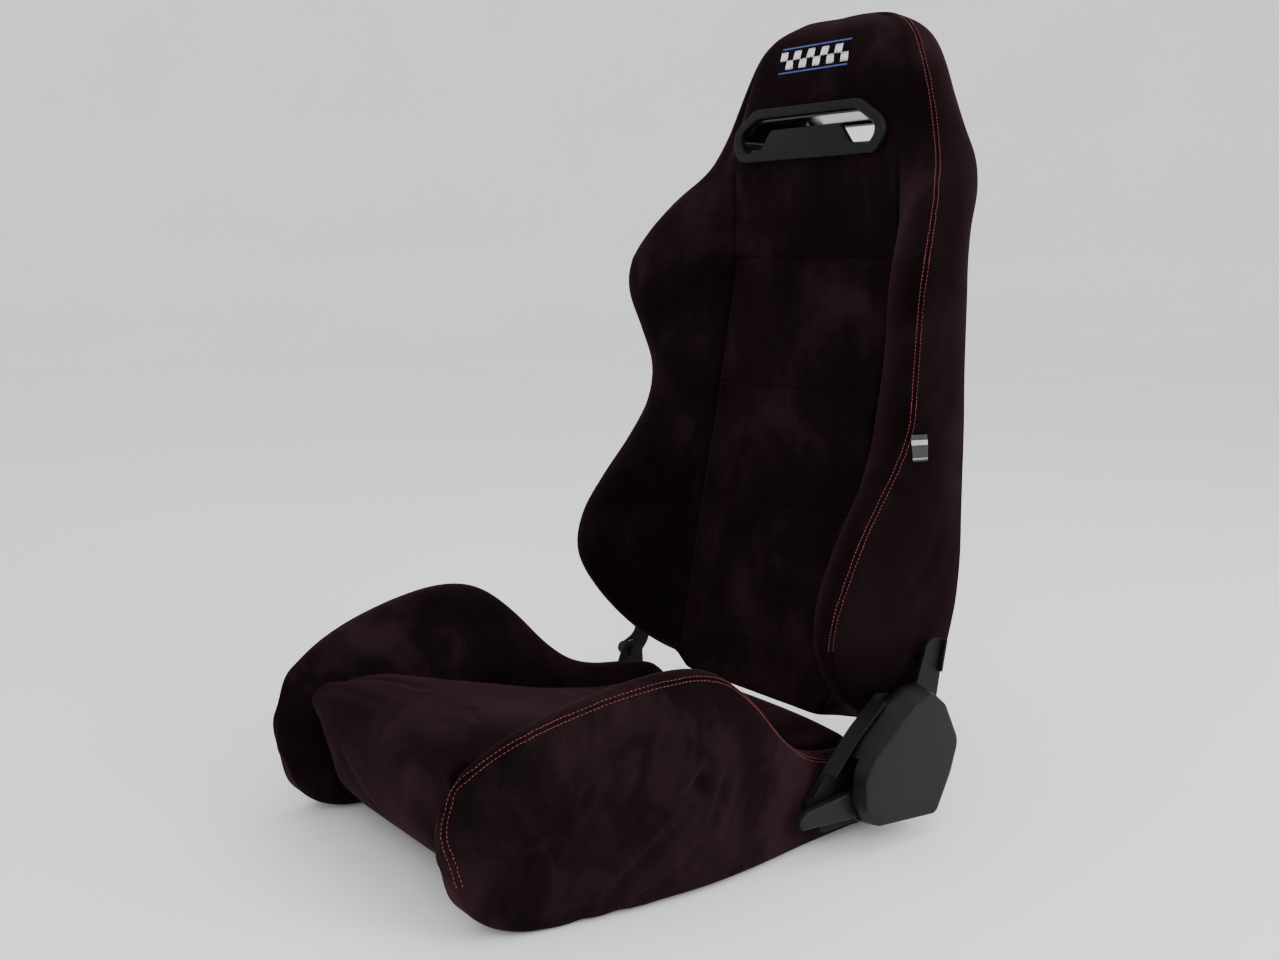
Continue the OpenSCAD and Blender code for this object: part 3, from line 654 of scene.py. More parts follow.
def backrest_skin(inset):
    """The backrest's skin, a little smaller than the sewn size, and its sewn columns."""
    rings = []
    for z in back_heights():
        ring, marks = back_ring(z, row_at(BACK_ROWS, z))
        rings.append(np.column_stack([moved_in(ring[:, :2], inset), ring[:, 2]]))
    top, foot = rings[-1], rings[0]
    middle, bottom = top.mean(0), foot.mean(0)
    lid = [middle + (top - middle) * [s, s, 1] + [0, 0, lift]
           for s, lift in ((0.93, 2.2), (0.78, 3.6), (0.5, 4.2))]
    sole = [bottom + (foot - bottom) * [s, s, 1] - [0, 0, drop]
            for s, drop in ((0.9, 2.4), (0.97, 1.4))]
    rings = sole + rings + lid
    n = len(rings[0])
    piece = skin("backrest_cushion", [r * MM for r in rings], turn=n // 4)
    return piece, np.array(rings) * MM, marks


def sew_backrest():
    """Moulded backrest foam in its sewn suede cover."""
    piece, rings, marks = backrest_skin(BACK_INSET)
    n = rings.shape[1]
    groove, edge, corner_line = marks
    heights = rings[:, 0, 2] / MM
    co = points_of(piece)
    seams = []
    for side in (1, -1):
        column = (lambda k: k if side > 0 else (n - k) % n)
        inner = rings[:, column(groove)]
        seams.append(("groove", inner[(heights > 104) & (heights < 762)]))
        seams.append(("edge", rings[:, column(edge)][(heights > 112) & (heights < 934)]))
        seams.append(("rear", rings[:, column(corner_line)][(heights > 112) & (heights < 930)]))
    for z in CROSS_SEAMS:
        k = int(np.argmin(abs(heights - z)))
        seams.append(("cross", rings[k, [i % n for i in range(-groove, groove + 1)]]))
    held = np.zeros(len(co))
    for kind, line in seams:
        reach = {"groove": 12, "edge": 7, "rear": 7, "cross": 9}[kind]
        held = np.maximum(held, 1 - ease((away_from(co, line) - 1.5) / reach))
    held = np.maximum(held, 1 - ease((away_from(co, slot_ring_path(6)) - 8) / 16))
    held = np.maximum(held, 1 - ease((co[:, 2] / MM - 104) / 40))
    swell(piece, held, SWELL)
    relax(piece, 2, 0.35, 1 - held)
    finer(piece)
    cut(piece, slot_tool(1, 0.2, 0.45))
    strength = {"groove": (4.2, 2.6, 0.5), "edge": (1.5, 1.5, 0.3), "rear": (1.6, 1.6, 0.2),
                "cross": (2.6, 2.2, 0.3)}
    for kind, line in seams:
        press(piece, surface_line(piece, line), *strength[kind])
    crease(piece, BACK_CREASES, 0.4)
    for side in (1, -1):
        for at in ARM_BOLTS:
            cut(piece, peg("tunnel", side, at, TUNNEL_D, 190, 290))
    finish_piece(piece, SUEDE, "backrest", ("back_cover", "back_foam"))
    return piece, [line for kind, line in seams if kind == "edge"]


# Soft creases: points in millimetres, depth and half-width
BACK_CREASES = [
    ([[-70, 270, 758], [-62, 270, 735], [-66, 270, 712]], 1.1, 5),
    ([[20, 270, 760], [28, 270, 738], [24, 270, 722]], 1.0, 5),
    ([[80, 270, 756], [92, 270, 728], [96, 270, 700]], 1.2, 6),
    ([[-112, 270, 752], [-126, 265, 720], [-132, 262, 690]], 1.3, 7),
    ([[205, 150, 420], [222, 170, 398], [240, 205, 370]], 1.0, 7),
    ([[258, 250, 330], [258, 225, 290], [256, 190, 262]], 1.0, 8),
]
BASE_CREASES = [
    ([[258, -98, 141], [258, -124, 102], [258, -162, 64], [256, -223, 14]], 3.4, 6),
    ([[258, -111, 127], [258, -146, 100], [258, -181, 82]], 2.0, 5),
    ([[258, -74, 121], [258, -95, 67], [258, -128, 33], [256, -179, 12]], 2.6, 5),
    ([[240, -313, 50], [250, -301, 83], [252, -273, 85]], 2.6, 5),
    ([[238, -326, 36], [240, -316, 62]], 1.8, 6),
    ([[252, 40, 92], [252, 10, 108], [254, -20, 112]], 1.5, 6),
]
CENTRE_CREASES = [
    ([[-150, -330, 160], [-90, -318, 168], [-20, -312, 170]], 1.6, 6),
    ([[-158, -300, 166], [-100, -270, 170], [-40, -255, 170]], 1.6, 7),
    ([[150, -290, 166], [100, -262, 168], [50, -250, 168]], 1.4, 6),
    ([[-60, -346, 110], [-30, -344, 70], [0, -330, 40]], 1.2, 8),
    ([[-150, -120, 132], [-110, -90, 124], [-60, -80, 121]], 1.2, 8),
]


def crease(piece, creases, lip, side=1):
    """Presses soft creases in, with a swelling beside each of a share of its depth."""
    for line, depth, width in creases:
        path = np.array(line) * [side, 1, 1] * MM
        press(piece, surface_line(piece, path), depth, width, depth * lip)


def surface_line(piece, line):
    """The points of a line moved onto the piece's nearest surface."""
    mesh = piece.data
    tree = BVHTree.FromPolygons([v.co for v in mesh.vertices],
                                [tuple(p.vertices) for p in mesh.polygons])
    line = np.asarray(line, float)
    return np.array([tree.find_nearest(Vector(p))[0]
                     for p in at_lengths(line, np.arange(0, lengths(line)[-1], 0.003))])


def peg(name, side, at, d, x0, x1):
    """Round cutter along X for a bolt's tunnel."""
    turns = [i * math.tau / 32 for i in range(32)]
    rings = [np.array([[side * x, at[0] + d / 2 * math.cos(a), at[1] + d / 2 * math.sin(a)]
                       for a in turns]) * MM for x in (x0, x1)]
    return skin(name, rings)


# ---- belt slot ----

# Size and height of the ring, how far its tunnel stands inside it, and the tunnel's wall
SLOT_W, SLOT_H, SLOT_Z, RING_STEP, LINER_WALL = 276, 62, 799, 11, 2.5


def slot_outline(grow, steps=12):
    w, h = SLOT_W / 2, SLOT_H / 2
    return moved_in(rounded([[18 - w, -h, 14], [w - 18, -h, 14], [w, 0, 22], [w - 46, h, 26],
                             [46 - w, h, 26], [-w, 0, 22]], steps), -grow)


def slot_opening(steps=10):
    w, h = SLOT_W / 2 - 9, SLOT_H / 2 - 8
    return rounded([[20 - w, -h, 8], [-78, 4 - h, 8], [-60, 4, 7], [60, 4, 7], [78, 4 - h, 8],
                    [w - 20, -h, 8], [w, 0, 16], [w - 42, h, 20], [42 - w, h, 20],
                    [-w, 0, 16]], steps)


def in_slot(outline, y):
    """Outline in the slot's plane, as points in metres."""
    o = np.asarray(outline)
    return np.column_stack([o[:, 0], np.full(len(o), y), o[:, 1] + SLOT_Z]) * MM


def slot_ring_path(grow):
    path = in_slot(slot_outline(grow), 278)
    return np.vstack([path, path[:1]])


def slot_tool(grow, y0, y1):
    o = slot_outline(-RING_STEP + grow)
    return skin("slot_tool", [in_slot(o, y0 / MM), in_slot(o, y1 / MM)])


def flat_plate(name, outlines, thick, edge, place):
    """Plate with rounded edges from flat outlines, where the inner ones are holes."""
    curve = bpy.data.curves.new(name, "CURVE")
    curve.dimensions = "2D"
    curve.fill_mode = "BOTH"
    curve.extrude = (thick / 2 - edge) * MM
    curve.bevel_depth = edge * MM
    curve.bevel_resolution = 3
    for outline in outlines:
        spline = curve.splines.new("POLY")
        spline.points.add(len(outline) - 1)
        for point, (a, b) in zip(spline.points, outline):
            point.co = (a * MM, b * MM, 0, 1)
        spline.use_cyclic_u = True
    shape = to_object(name, curve)
    mesh = evaluated_mesh(shape)
    bpy.data.objects.remove(shape)
    mesh.transform(place)
    tidy_mesh(mesh)
    return to_object(name, mesh)


def tidy_mesh(mesh):
    """Welds a mesh and shades it smooth but for its hard edges."""
    weld(mesh, 2e-6)
    mesh.shade_smooth()
    for edge in mesh.edges:
        edge.use_edge_sharp = False
    mesh.set_sharp_from_angle(angle=HARD_EDGE)


def upright(y):
    """Turns a flat plate into the slot's plane, with its middle at that y."""
    return Matrix(((1, 0, 0, 0), (0, 0, -1, y * MM), (0, 1, 0, SLOT_Z * MM), (0, 0, 0, 1)))


def sideways(side, x):
    """Turns a flat plate drawn in y and z to face sideways, with its middle at that x."""
    return Matrix(((0, 0, side, side * x * MM), (1, 0, 0, 0), (0, 1, 0, 0), (0, 0, 0, 1)))


def sleeve(name, y0, y1, outer, wall):
    """Tube that follows the slot's outline."""
    a, b = slot_outline(outer), slot_outline(outer - wall)
    return skin(name, [in_slot(a, y0), in_slot(a, y1), in_slot(b, y1), in_slot(b, y0)],
                ends=False)


def joined(name, pieces, materials):
    """One piece out of several, each with its own material."""
    shape = bmesh.new()
    for index, piece in enumerate(pieces):
        part = piece.data.copy()
        for face in part.polygons:
            face.material_index = index
        shape.from_mesh(part)
    mesh = bpy.data.meshes.new(name)
    for material in materials:
        mesh.materials.append(material)
    shape.to_mesh(mesh)
    shape.free()
    mesh.shade_smooth()
    mesh.set_sharp_from_angle(angle=HARD_EDGE)
    for piece in pieces:
        bpy.data.objects.remove(piece)
    return to_object(name, mesh)


def mould_slot():
    """The two plastic rings of the belt slot, with their polished tunnel."""
    behind = slot_outline(-RING_STEP - LINER_WALL)
    # Node, hole, flange's thickness, edge and middle, and the tunnel's two ends
    for node, hole, thick, edge, middle, y0, y1 in (
            ("slot_front_ring", slot_opening(), 8, 1.8, 273, 276.5, 330),
            ("slot_rear_ring", behind, 24, 3.0, 384, 330.4, 373)):
        flange = flat_plate("flange", [slot_outline(0), hole], thick, edge, upright(middle))
        liner = sleeve("liner", y0, y1, -RING_STEP, LINER_WALL)
        ring = joined(node + "_moulding", [flange, liner], [MATT_PLASTIC, GLOSS])
        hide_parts(node)
        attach(ring, "backrest")


# ---- base ----

def seat_outline_ring():
    """Side outline of the centre cushion as an even number of evenly spaced points."""
    o = rounded(SEAT_OUTLINE, 8)
    o = np.vstack([o, o[:1]])
    total = lengths(o)[-1]
    ring = at_lengths(o, np.linspace(0, total, int(total / 8) + 1)[:-1])
    return ring[:-1] if len(ring) % 2 else ring


def sew_centre():
    """Centre cushion of the base: crowned on top, rolled under at the front."""
    ring = seat_outline_ring()
    half_x = 160.0
    xs = np.concatenate([[-half_x, -half_x + 1.5, -half_x + 5], np.linspace(-150, 150, 41),
                         [half_x - 5, half_x - 1.5, half_x]])
    rings = []
    for x in xs:
        t = abs(x) / half_x
        pull = 5.5 * t**4 + 3 * ease((t - 0.965) / 0.035)
        y, z = ring[:, 0].copy(), ring[:, 1].copy()
        free_side = ease((z - 60) / 30)
        z = z - pull * free_side * (z > 58) + 3.5 * (1 - t**2) * free_side
        recede = 26 * ease((t - 0.62) / 0.36) * ease((152 - z) / 50) * ease((-262 - y) / 30)
        y = y + recede
        rings.append(np.column_stack([np.full(len(ring), x), y, z]) * MM)
    piece = skin("centre_cushion", rings, turn=0)
    co = points_of(piece)
    resting = np.maximum(ease((62 * MM - co[:, 2]) / (4 * MM)),
                         ease((np.abs(co[:, 0]) - 0.152) / 0.006))
    resting = np.maximum(resting, ease((co[:, 1] - 0.186) / 0.004) * ease((0.07 - co[:, 2]) / 0.01))
    swell(piece, resting, SWELL)
    relax(piece, 2, 0.35, 1 - resting)
    finer(piece)
    crease(piece, CENTRE_CREASES, 0.4)
    finish_piece(piece, SUEDE, "base", ("base_cover", "base_foam"))
    return piece


def bolster_ring(row):
    """Outline of a base bolster across the seat, cut back round the frame's room."""
    y, ix, lo, hi, ex = row
    crease = min(row_at(SEAT_TOP, y)[1] - 6, mix(lo, hi, 0.6))
    roof = ROOM_TOP if ROOM_FRONT < y < 190 else lo
    inner = min(ROOM_X, ex - 12)
    rise = mix(lo, hi, 0.14)
    line = curve_through([
        [ix + 1, max(roof + 4, mix(lo, crease, 0.3))], [ix, max(mix(lo, crease, 0.6), roof + 8)],
        [ix, crease], [mix(ix, ex, 0.34), mix(crease, hi, 0.62)], [mix(ix, ex, 0.62), hi - 1],
        [ex - 9, hi - 6], [ex, mix(lo, hi, 0.78)], [ex + 1, mix(lo, hi, 0.45)], [ex - 3, rise],
        [ex - 5, lo + 3]], closed=False)
    upper, lower = line[:71], line[70:]
    foot = np.array([[ex - 8, lo], [inner + 0.5, lo], [inner, lo + 0.5], [inner, roof - 0.5],
                     [inner - 0.5, roof], [ix + 8, roof], [ix + 3, roof + 1]])
    return upper, lower, foot


def bolster_points(row):
    upper, lower, foot = bolster_ring(row)
    a = at_lengths(upper, spread(lengths(upper)[-1], 30, False, True))
    b = at_lengths(lower, spread(lengths(lower)[-1], 30, True, False))
    ring = np.vstack([a[:-1], b[:-1], lower[-1:]])
    foot = np.vstack([at_lengths(np.vstack([foot[0], foot[1]]), np.linspace(0, 1, 4)[:-1]
                                 * lengths(foot[:2])[-1]), foot[1:5],
                      at_lengths(foot[4:6], np.linspace(0, 1, 10)[1:] * lengths(foot[4:6])[-1]),
                      foot[6:]])
    ring = np.vstack([ring, foot])
    return np.column_stack([ring[:, 0], np.full(len(ring), row[0]), ring[:, 1]]), len(a) - 1


def sew_bolster(side):
    """One base bolster: a tall curved wing with a stitched edge."""
    stations = list(np.arange(-362, ROOM_FRONT - 4, 6.2)) + [ROOM_FRONT - 0.6, ROOM_FRONT + 0.6]
    stations += list(np.arange(ROOM_FRONT + 6, 184, 7)) + [189.4, 190.6, 196, 202, 207]
    rings = []
    for y in stations:
        ring, edge = bolster_points(row_at(BOLSTER_ROWS, y))
        inset = moved_in(ring[:, [0, 2]], BOLSTER_INSET)
        free = ease((ring[:, 2] - ROOM_TOP) / 12)[:, None] + (ring[:, 0] > 233)[:, None] * 1.0
        flat = ring[:, [0, 2]] + (inset - ring[:, [0, 2]]) * np.clip(free, 0, 1)
        rings.append(np.column_stack([flat[:, 0], ring[:, 1], flat[:, 1]]))
    nose, tail = rings[0], rings[-1]
    noses = [nose.mean(0) + (nose - nose.mean(0)) * [s, 1, s] - [0, out, 0]
             for s, out in ((0.42, 6.5), (0.66, 5.4), (0.84, 3.6), (0.95, 1.6))]
    tails = [tail.mean(0) + (tail - tail.mean(0)) * [s, 1, s] + [0, out, 0]
             for s, out in ((0.93, 1.4), (0.7, 2.4))]
    rings = noses + rings + tails
    rings = [r * [side, 1, 1] * MM for r in rings]
    name = "bolster_left" if side > 0 else "bolster_right"
    n = len(rings[0])
    if n % 2:
        rings = [np.delete(r, n - 4, axis=0) for r in rings]
    piece = skin(name, rings, turn=8)
    seam = np.array([r[edge] for r in rings[5:]])
    seam = seam[seam[:, 1] < 0.2]
    front = np.array([[side * 209, -357, 62], [side * 206, -364, 88], [side * 201, -367, 114]])
    seam = curve_through(np.vstack([front * MM, seam[::3]]), closed=False, per=4)
    co = points_of(piece)
    seam_on = surface_line(piece, seam)
    held = 1 - ease((away_from(co, seam_on) - 1.5) / 8)
    inside = (np.abs(co[:, 0]) < 0.2295) & (co[:, 2] < 0.0585)
    held = np.maximum(held, inside * 1.0)
    held = np.maximum(held, ease((0.006 - co[:, 2]) / 0.003))
    held = np.maximum(held, ease((0.1652 - np.abs(co[:, 0])) / 0.003))
    held = np.maximum(held, ease((co[:, 1] - 0.1) / 0.06))
    swell(piece, held, SWELL)
    relax(piece, 2, 0.35, 1 - held)
    finer(piece)
    press(piece, surface_line(piece, seam), 1.5, 1.5, 0.3)
    crease(piece, BASE_CREASES, 0.45, side)
    for at in BRACKET_BOLTS:
        cut(piece, peg("tunnel", side, at, TUNNEL_D, 200, 280))
    finish_piece(piece, SUEDE, "base", ())
    return piece, seam


# ---- stitches ----

def stitch_tree():
    """Row of stitches along a seam: it is laid on the cushion, moved sideways by an offset, and
    gets one slim rounded stitch at every pitch, along the row or turned across it."""
    tree = bpy.data.node_groups.new("row_of_stitches", "GeometryNodeTree")
    face = tree.interface
    for name, kind in (("Seam", "NodeSocketGeometry"), ("Cushion", "NodeSocketObject"),
                       ("Pitch", "NodeSocketFloat"), ("Length", "NodeSocketFloat"),
                       ("Thickness", "NodeSocketFloat"), ("Offset", "NodeSocketFloat"),
                       ("Lift", "NodeSocketFloat"), ("Across", "NodeSocketBool"),
                       ("Thread", "NodeSocketMaterial")):
        face.new_socket(name, in_out="INPUT", socket_type=kind)
    face.new_socket("Stitches", in_out="OUTPUT", socket_type="NodeSocketGeometry")
    given = add(tree, "NodeGroupInput").outputs
    line = add(tree, "GeometryNodeMeshToCurve", {"Mesh": given["Seam"]}).outputs[0]
    cushion = add(tree, "GeometryNodeObjectInfo", {"Object": given["Cushion"]}).outputs["Geometry"]
    here = add(tree, "GeometryNodeInputPosition").outputs[0]
    along = add(tree, "GeometryNodeInputTangent").outputs[0]
    normal = add(tree, "GeometryNodeInputNormal").outputs[0]
    outward = add(tree, "GeometryNodeSampleNearestSurface",
                  {"Mesh": cushion, "Value": normal, "Sample Position": here},
                  data_type="FLOAT_VECTOR").outputs["Value"]
    aside = add(tree, "ShaderNodeVectorMath", {0: along, 1: outward},
                operation="CROSS_PRODUCT").outputs[0]
    shift = add(tree, "ShaderNodeVectorMath", {0: aside, "Scale": given["Offset"]},
                operation="SCALE").outputs[0]
    moved = add(tree, "GeometryNodeSetPosition", {"Geometry": line, "Offset": shift}).outputs[0]
    row = add(tree, "GeometryNodeResampleCurve", {"Curve": moved, "Length": given["Pitch"]},
              mode="LENGTH").outputs[0]
    on_skin = add(tree, "GeometryNodeProximity", {"Geometry": cushion, "Sample Position": here},
                  target_element="FACES").outputs["Position"]
    lifted = add(tree, "ShaderNodeVectorMath", {0: outward, "Scale": given["Lift"]},
                 operation="SCALE").outputs[0]
    laid = add(tree, "GeometryNodeSetPosition",
               {"Geometry": row, "Position": on_skin, "Offset": lifted}).outputs[0]
    way = add(tree, "GeometryNodeSwitch", {"Switch": given["Across"], "False": along,
                                           "True": aside}, input_type="VECTOR").outputs[0]
    lean = add(tree, "FunctionNodeRandomValue",
               {"Min": (-0.09, -0.09, -0.09), "Max": (0.09, 0.09, 0.09), "Seed": 7},
               data_type="FLOAT_VECTOR").outputs["Value"]
    leaning = add(tree, "ShaderNodeVectorMath", {0: way, 1: lean}).outputs[0]
    turned = add(tree, "FunctionNodeAlignRotationToVector", {"Vector": leaning},
                 axis="Z").outputs[0]
    instances = add(tree, "GeometryNodeInstanceOnPoints", {
        "Points": laid, "Instance": stitch_shape(tree), "Rotation": turned,
        "Scale": add(tree, "ShaderNodeCombineXYZ", {
            "X": given["Thickness"], "Y": given["Thickness"], "Z": given["Length"]}).outputs[0],
    }).outputs[0]
    real = add(tree, "GeometryNodeRealizeInstances", {"Geometry": instances}).outputs[0]
    threaded = add(tree, "GeometryNodeSetMaterial",
                   {"Geometry": real, "Material": given["Thread"]}).outputs[0]
    add(tree, "NodeGroupOutput", {"Stitches": threaded})
    return tree


def stitch_shape(tree):
    """One stitch of length 1 and thickness 1 along Z, drawn in at its ends."""
    rod = add(tree, "GeometryNodeMeshCylinder",
              {"Vertices": 6, "Side Segments": 4, "Radius": 0.5, "Depth": 1.0}).outputs["Mesh"]
    here = add(tree, "GeometryNodeInputPosition").outputs[0]
    height = add(tree, "ShaderNodeSeparateXYZ", {0: here}).outputs["Z"]
    square = add(tree, "ShaderNodeMath", {0: height, 1: height}, operation="MULTIPLY").outputs[0]
    thin = add(tree, "ShaderNodeMath", {0: square, 1: -2.6, 2: 1.0},
               operation="MULTIPLY_ADD").outputs[0]
    scale = add(tree, "ShaderNodeCombineXYZ", {"X": thin, "Y": thin, "Z": 1.0}).outputs[0]
    place = add(tree, "ShaderNodeVectorMath", {0: here, 1: scale}, operation="MULTIPLY").outputs[0]
    shaped = add(tree, "GeometryNodeSetPosition", {"Geometry": rod, "Position": place}).outputs[0]
    return add(tree, "GeometryNodeSetShadeSmooth", {"Geometry": shaped}).outputs[0]


STITCHES = stitch_tree()


def line_mesh(name, lines):
    """Mesh of bare edges along some lines of points."""
    points, edges = [], []
    for line in lines:
        first = len(points)
        points += [tuple(p) for p in line]
        edges += [(first + i, first + i + 1) for i in range(len(line) - 1)]
    mesh = bpy.data.meshes.new(name)
    mesh.from_pydata(points, edges, [])
    return to_object(name, mesh)


def stitch(name, lines, cushion, pitch, length, thick, offset, material, body,
           lift=0.2, across=False):
    """Sews rows of stitches along lines on a cushion."""
    piece = line_mesh(name, lines)
    change = piece.modifiers.new("stitches", "NODES")
    change.node_group = STITCHES
    values = {"Cushion": cushion, "Pitch": pitch * MM, "Length": length * MM,
              "Thickness": thick * MM, "Offset": offset * MM, "Lift": lift * MM,
              "Across": across, "Thread": material}
    for item in STITCHES.interface.items_tree:
        if item.name in values and item.in_out == "INPUT":
            change[item.identifier] = values[item.name]
    plain(piece)
    if not piece.data.materials:
        piece.data.materials.append(material)
    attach(piece, body)
    return piece


def sew_rows(name, seam_lines, cushion, body):
    """The two red rows, one on each side of a seam."""
    for row, offset in (("outer", ROW_OFFSET), ("inner", -ROW_OFFSET)):
        stitch(f"{name}_stitches_{row}", seam_lines, cushion, RED_PITCH, RED_LENGTH, RED_THICK,
               offset, RED_THREAD, body, lift=0.15)


def embroider(cushion):
    """A plain chequered strip across the head, in raised satin stitch."""
    cell_w, cell_h, columns = 12.0, 11.0, 10
    tree = BVHTree.FromObject(cushion, bpy.context.evaluated_depsgraph_get())

    def on_front(x, z):
        hit = tree.ray_cast(Vector((x * MM, 0.1, z * MM)), Vector((0, 1, 0)))[0]
        return tuple(hit)

    white, blue = [], []
    left = -cell_w * columns / 2
    for row, z in enumerate((895.0, 884.0)):
        for column in range(columns):
            if (row + column) % 2 == 0:
                x0 = left + column * cell_w
                white.append([on_front(x0 + t * cell_w, z) for t in np.linspace(0.03, 0.97, 5)])
    for z in (904.5, 874.5):
        blue.append([on_front(x, z) for x in np.linspace(left, -left, 40)])
    stitch("chequer_embroidery", white, cushion, 0.8, cell_h * 1.06, 1.0, 0, WHITE_THREAD,
           "backrest", lift=0.25, across=True)
    stitch("strip_embroidery", blue, cushion, 0.8, 2.2, 0.95, 0, BLUE_THREAD,
           "backrest", lift=0.25, across=True)


def sew_label(cushion):
    """Small folded label caught in the side seam."""
    tree = BVHTree.FromObject(cushion, bpy.context.evaluated_depsgraph_get())
    wide, tall, columns, rows = 21.0, 30.0, 12, 14
    near_x, first_y, middle_z = 0.256, 209, 434
    grid = []
    for j in range(rows + 1):
        z = middle_z + (j / rows - 0.5) * tall
        for i in range(columns + 1):
            y = first_y + wide * i / columns
            hit = tree.find_nearest(Vector((near_x, y * MM, z * MM)))[0]
            t = i / columns
            lift = 0.7 + 2.2 * math.sin(t * 2.1) ** 2 * t + 0.5 * math.sin(5 * t + j * 0.35) * t
            grid.append((hit.x + lift * MM, y * MM, z * MM))
    faces = [(j * (columns + 1) + i, j * (columns + 1) + i + 1,
              (j + 1) * (columns + 1) + i + 1, (j + 1) * (columns + 1) + i)
             for j in range(rows) for i in range(columns)]
    mesh = bpy.data.meshes.new("side_label")
    mesh.from_pydata(grid, [], faces)
    piece = to_object("side_label", mesh)
    change = piece.modifiers.new("thickness", "SOLIDIFY")
    change.thickness = 0.7 * MM
    change.offset = 0
    finer(piece)
    tidy_mesh(piece.data)
    finish_piece(piece, LABEL, "backrest", ("side_tag",))


# ---- recliner and lever ----

# The cover's rim and its flat face, as y, z and corner radius
COVER_BASE = [[112, 27, 18], [214, 19, 12], [238, 62, 60], [250, 101, 26], [225, 151, 22],
              [202, 171, 18], [176, 169, 30], [148, 154, 30], [112, 124, 30], [92, 98, 16],
              [90, 60, 24]]
COVER_FACE = [[114, 30, 16], [212, 22, 10], [234, 64, 60], [246, 101, 24], [222, 148, 20],
              [200, 166, 16], [172, 156, 40], [108, 106, 20], [96, 84, 16], [98, 52, 20]]
COVER_CENTRE = (164, 92)
COVER_X, COVER_DEPTH, COVER_WALL = 266.6, 30, 2.5
RIM_MIDDLE, COVER_RIM = 3.0, 6.5
LEVER_X, LEVER_T, GRIP_RIVET = 268, 3, (99, 52)


def radii(outline, centre, count=160):
    """Distance of an outline from a centre, in even directions."""
    o = np.vstack([outline, outline[:1]]) - centre
    out = []
    for k in range(count):
        a = math.tau * k / count
        ray = np.array([math.cos(a), math.sin(a)])
        best = 0
        for p, q in zip(o[:-1], o[1:]):
            e = q - p
            det = ray[0] * -e[1] + ray[1] * e[0]
            if abs(det) < 1e-12:
                continue
            r = (p[0] * -e[1] + p[1] * e[0]) / det
            s = (ray[0] * p[1] - ray[1] * p[0]) / det
            if r > 0 and -1e-9 <= s <= 1 + 1e-9:
                best = max(best, r)
        out.append(best)
    return np.array(out)


def cover_rings(wall):
    """Rings of the recliner's cover from its rim to the middle of its face."""
    centre = np.array(COVER_CENTRE)
    rim = radii(moved_in(rounded(COVER_BASE), wall), centre)
    face = radii(moved_in(rounded(COVER_FACE), wall), centre)
    top = COVER_DEPTH - wall
    steps = [(rim, 0.0), (rim, RIM_MIDDLE), (rim, COVER_RIM)]
    for k in range(1, 10):
        t = k / 10 * math.pi / 2
        chord = k / 10
        out = mix(chord, 1 - math.cos(t), 0.16)
        up = mix(chord, math.sin(t), 0.16)
        steps.append((mix(rim, face, out), mix(COVER_RIM, top - 0.6, up)))
    steps += [(face, top - 0.55), (face - 1.6, top - 0.1), (face - 4, top), (face * 0.8, top),
              (face * 0.5, top), (face * 0.2, top)]
    rings = []
    for r, x in steps:
        a = np.arange(len(r)) * math.tau / len(r)
        rings.append(np.column_stack([np.full(len(r), COVER_X + x),
                                      centre[0] + r * np.cos(a), centre[1] + r * np.sin(a)]) * MM)
    return rings


def mould_cover():
    """Plastic cover of the recliner: a hollow D with a broad crowned bevel."""
    outer, inner = cover_rings(0), cover_rings(COVER_WALL)
    n = len(outer[0])
    points = np.vstack(outer + inner)
    count = len(outer)
    faces = []
    for base in (0, count * n):
        faces += sides(n, count, base)
        faces += cap(list(range(base + (count - 1) * n, base + count * n)), 0)
    faces += [(i, (i + 1) % n, count * n + (i + 1) % n, count * n + i) for i in range(n)]
    piece = mesh_from("recliner_cover_moulding", points, faces)
    notch = np.array([[80, 33], [120, 33], [120, 106], [80, 106]], float)
    cut(piece, skin("notch", [np.column_stack([np.full(4, x), notch]) * MM
                              for x in (COVER_X - 1, COVER_X + 14)]))
    piece.data.set_sharp_from_angle(angle=math.radians(38))
    return finish_piece(piece, PLASTIC, "base", ("recliner_cover_left",))


def mould_lever():
    """Moulded grip of the recline lever, with a recess round its rivet."""
    outline = rounded([[116, 38, 3], [117, 60, 4], [104, 67, 10], [30, 59, 5], [20, 52, 3],
                       [24, 44, 4]], 8)
    recess = 4.9 * np.array([[math.cos(a), math.sin(a)] for a in np.linspace(0, math.tau, 33)[:-1]])
    x = LEVER_X - 1 + (LEVER_T + 7) / 2
    piece = flat_plate("lever_grip_moulding", [outline, recess + GRIP_RIVET], LEVER_T + 7, 2.2,
                       sideways(1, x))
    return finish_piece(piece, LEVER_PLASTIC, "lever", ("lever_grip",))


# ---- the CAD pieces that stay ----

KEPT = {
    STEEL: ("base_rail_left", "base_rail_right", "front_cross_tube", "rear_cross_tube",
            "base_side_plate_left", "base_side_plate_right", "recliner_bracket_left",
            "hinge_bracket_right", "bracket_sleeves", "back_hoop", "lower_back_bar",
            "upper_back_bar", "back_side_plates", "recliner_arm_left", "hinge_arm_right",
            "arm_sleeves", "lever_plate", "bracket_bolts", "arm_bolts", "grip_rivet",
            "pivot_bolt_left", "pivot_bolt_right"),
    ZINC: ("mounting_nuts", "pawl_pin", "lever_pin", "cover_studs", "lever_spring"),
    SPRING: ("seat_springs", "back_springs", "recline_spring", "pawl"),
    NYLON: ("pivot_washers",),
    FOAM: ("base_foam", "back_foam"),
    SUEDE: ("base_cover", "back_cover"),
    PLASTIC: ("recliner_cover_left", "lever_grip", "slot_front_ring", "slot_rear_ring"),
    LABEL: ("side_tag",),
}


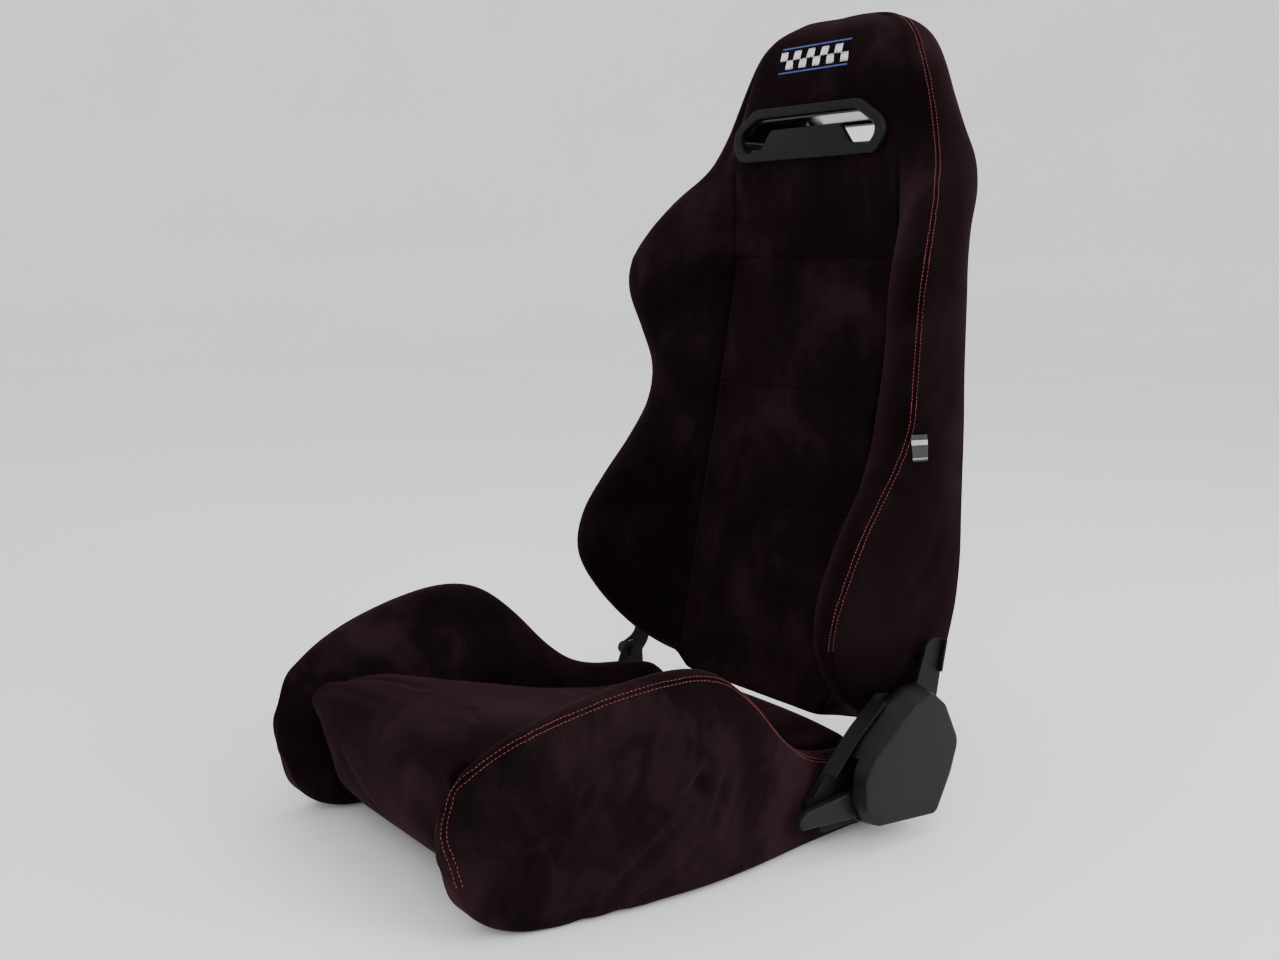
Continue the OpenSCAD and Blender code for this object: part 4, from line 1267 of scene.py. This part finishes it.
def refinish():
    for material, names in KEPT.items():
        for name in names:
            slots = NODES[name].material_slots
            if not slots:
                NODES[name].data.materials.append(material)
            for place in slots:
                place.material = material


# ---- studio ----

def studio_floor():
    """Pale matt floor that curves up into a low round backdrop far behind."""
    material, tree, shader, place = new_material("studio_floor", Roughness=0.8,
                                                 Specular_IOR_Level=0.2)
    set_colour(tree, shader, ramp(tree, noise(tree, place, 900, 3.0),
                                  [(0.3, "#f8f8f8"), (0.7, "#fbfbfb")]))
    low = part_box("base_rail_left")[0].z - 0.0015
    profile = [(0.5, 0), (2, 0), (5, 0), (7.5, 0), (8.6, 0.2), (9.5, 0.8), (10, 1.8), (10.2, 4.5)]
    turns = [math.tau * k / 96 for k in range(96)]
    points = [(r * math.cos(a), r * math.sin(a), low + z) for r, z in profile for a in turns]
    n = len(turns)
    faces = [(j * n + i, (j + 1) * n + i, (j + 1) * n + (i + 1) % n, j * n + (i + 1) % n)
             for j in range(len(profile) - 1) for i in range(n)] + [tuple(range(n))]
    mesh = bpy.data.meshes.new("studio_floor")
    mesh.from_pydata(points, [], faces)
    mesh.shade_smooth()
    mesh.materials.append(material)
    floor = to_object("studio_floor", mesh)


def soft_light(name, place, target, size, power):
    light = bpy.data.lights.new(name, "AREA")
    light.shape = "RECTANGLE"
    light.size, light.size_y = size
    light.energy = power
    lamp = to_object(name, light)
    lamp.location = place
    lamp.rotation_euler = (Vector(target) - Vector(place)).to_track_quat("-Z", "Y").to_euler()


def studio_light():
    world = bpy.data.worlds.new("studio_world")
    world.use_nodes = True
    sky = world.node_tree.nodes["Background"].inputs
    sky["Color"].default_value = colour("#fbfbfc")
    sky["Strength"].default_value = 1.15
    bpy.context.scene.world = world
    soft_light("key_softbox", (2.6, -1.9, 1.9), (0, 0, 0.3), (1.6, 1.8), 46)
    soft_light("side_softbox", (2.5, 1.0, 1.3), (0, 0.1, 0.4), (1.2, 1.8), 44)
    soft_light("top_softbox", (0.2, 0.9, 3.2), (0, 0.1, 0.4), (2.4, 2.4), 26)


def studio_camera():
    """Camera at the sitter's left front, a little above the seat."""
    data = bpy.data.cameras.new("camera")
    data.sensor_width = 36.0
    data.lens = 39.01
    camera = to_object("camera", data)
    camera.location = (1.285, -0.958, 0.644)
    turn, drop = math.radians(52.9), math.radians(9.1)
    look = Vector((-math.sin(turn) * math.cos(drop), math.cos(turn) * math.cos(drop),
                   -math.sin(drop)))
    camera.rotation_euler = look.to_track_quat("-Z", "Y").to_euler()
    bpy.context.scene.camera = camera


refinish()
backrest, back_edges = sew_backrest()
centre = sew_centre()
left_bolster, left_seam = sew_bolster(1)
right_bolster, right_seam = sew_bolster(-1)
sew_rows("back", [line[line[:, 2] > 0.215] for line in back_edges], backrest, "backrest")
sew_rows("bolster_left", [left_seam], left_bolster, "base")
sew_rows("bolster_right", [right_seam], right_bolster, "base")
embroider(backrest)
sew_label(backrest)
mould_slot()
mould_cover()
mould_lever()
studio_floor()
studio_light()
studio_camera()
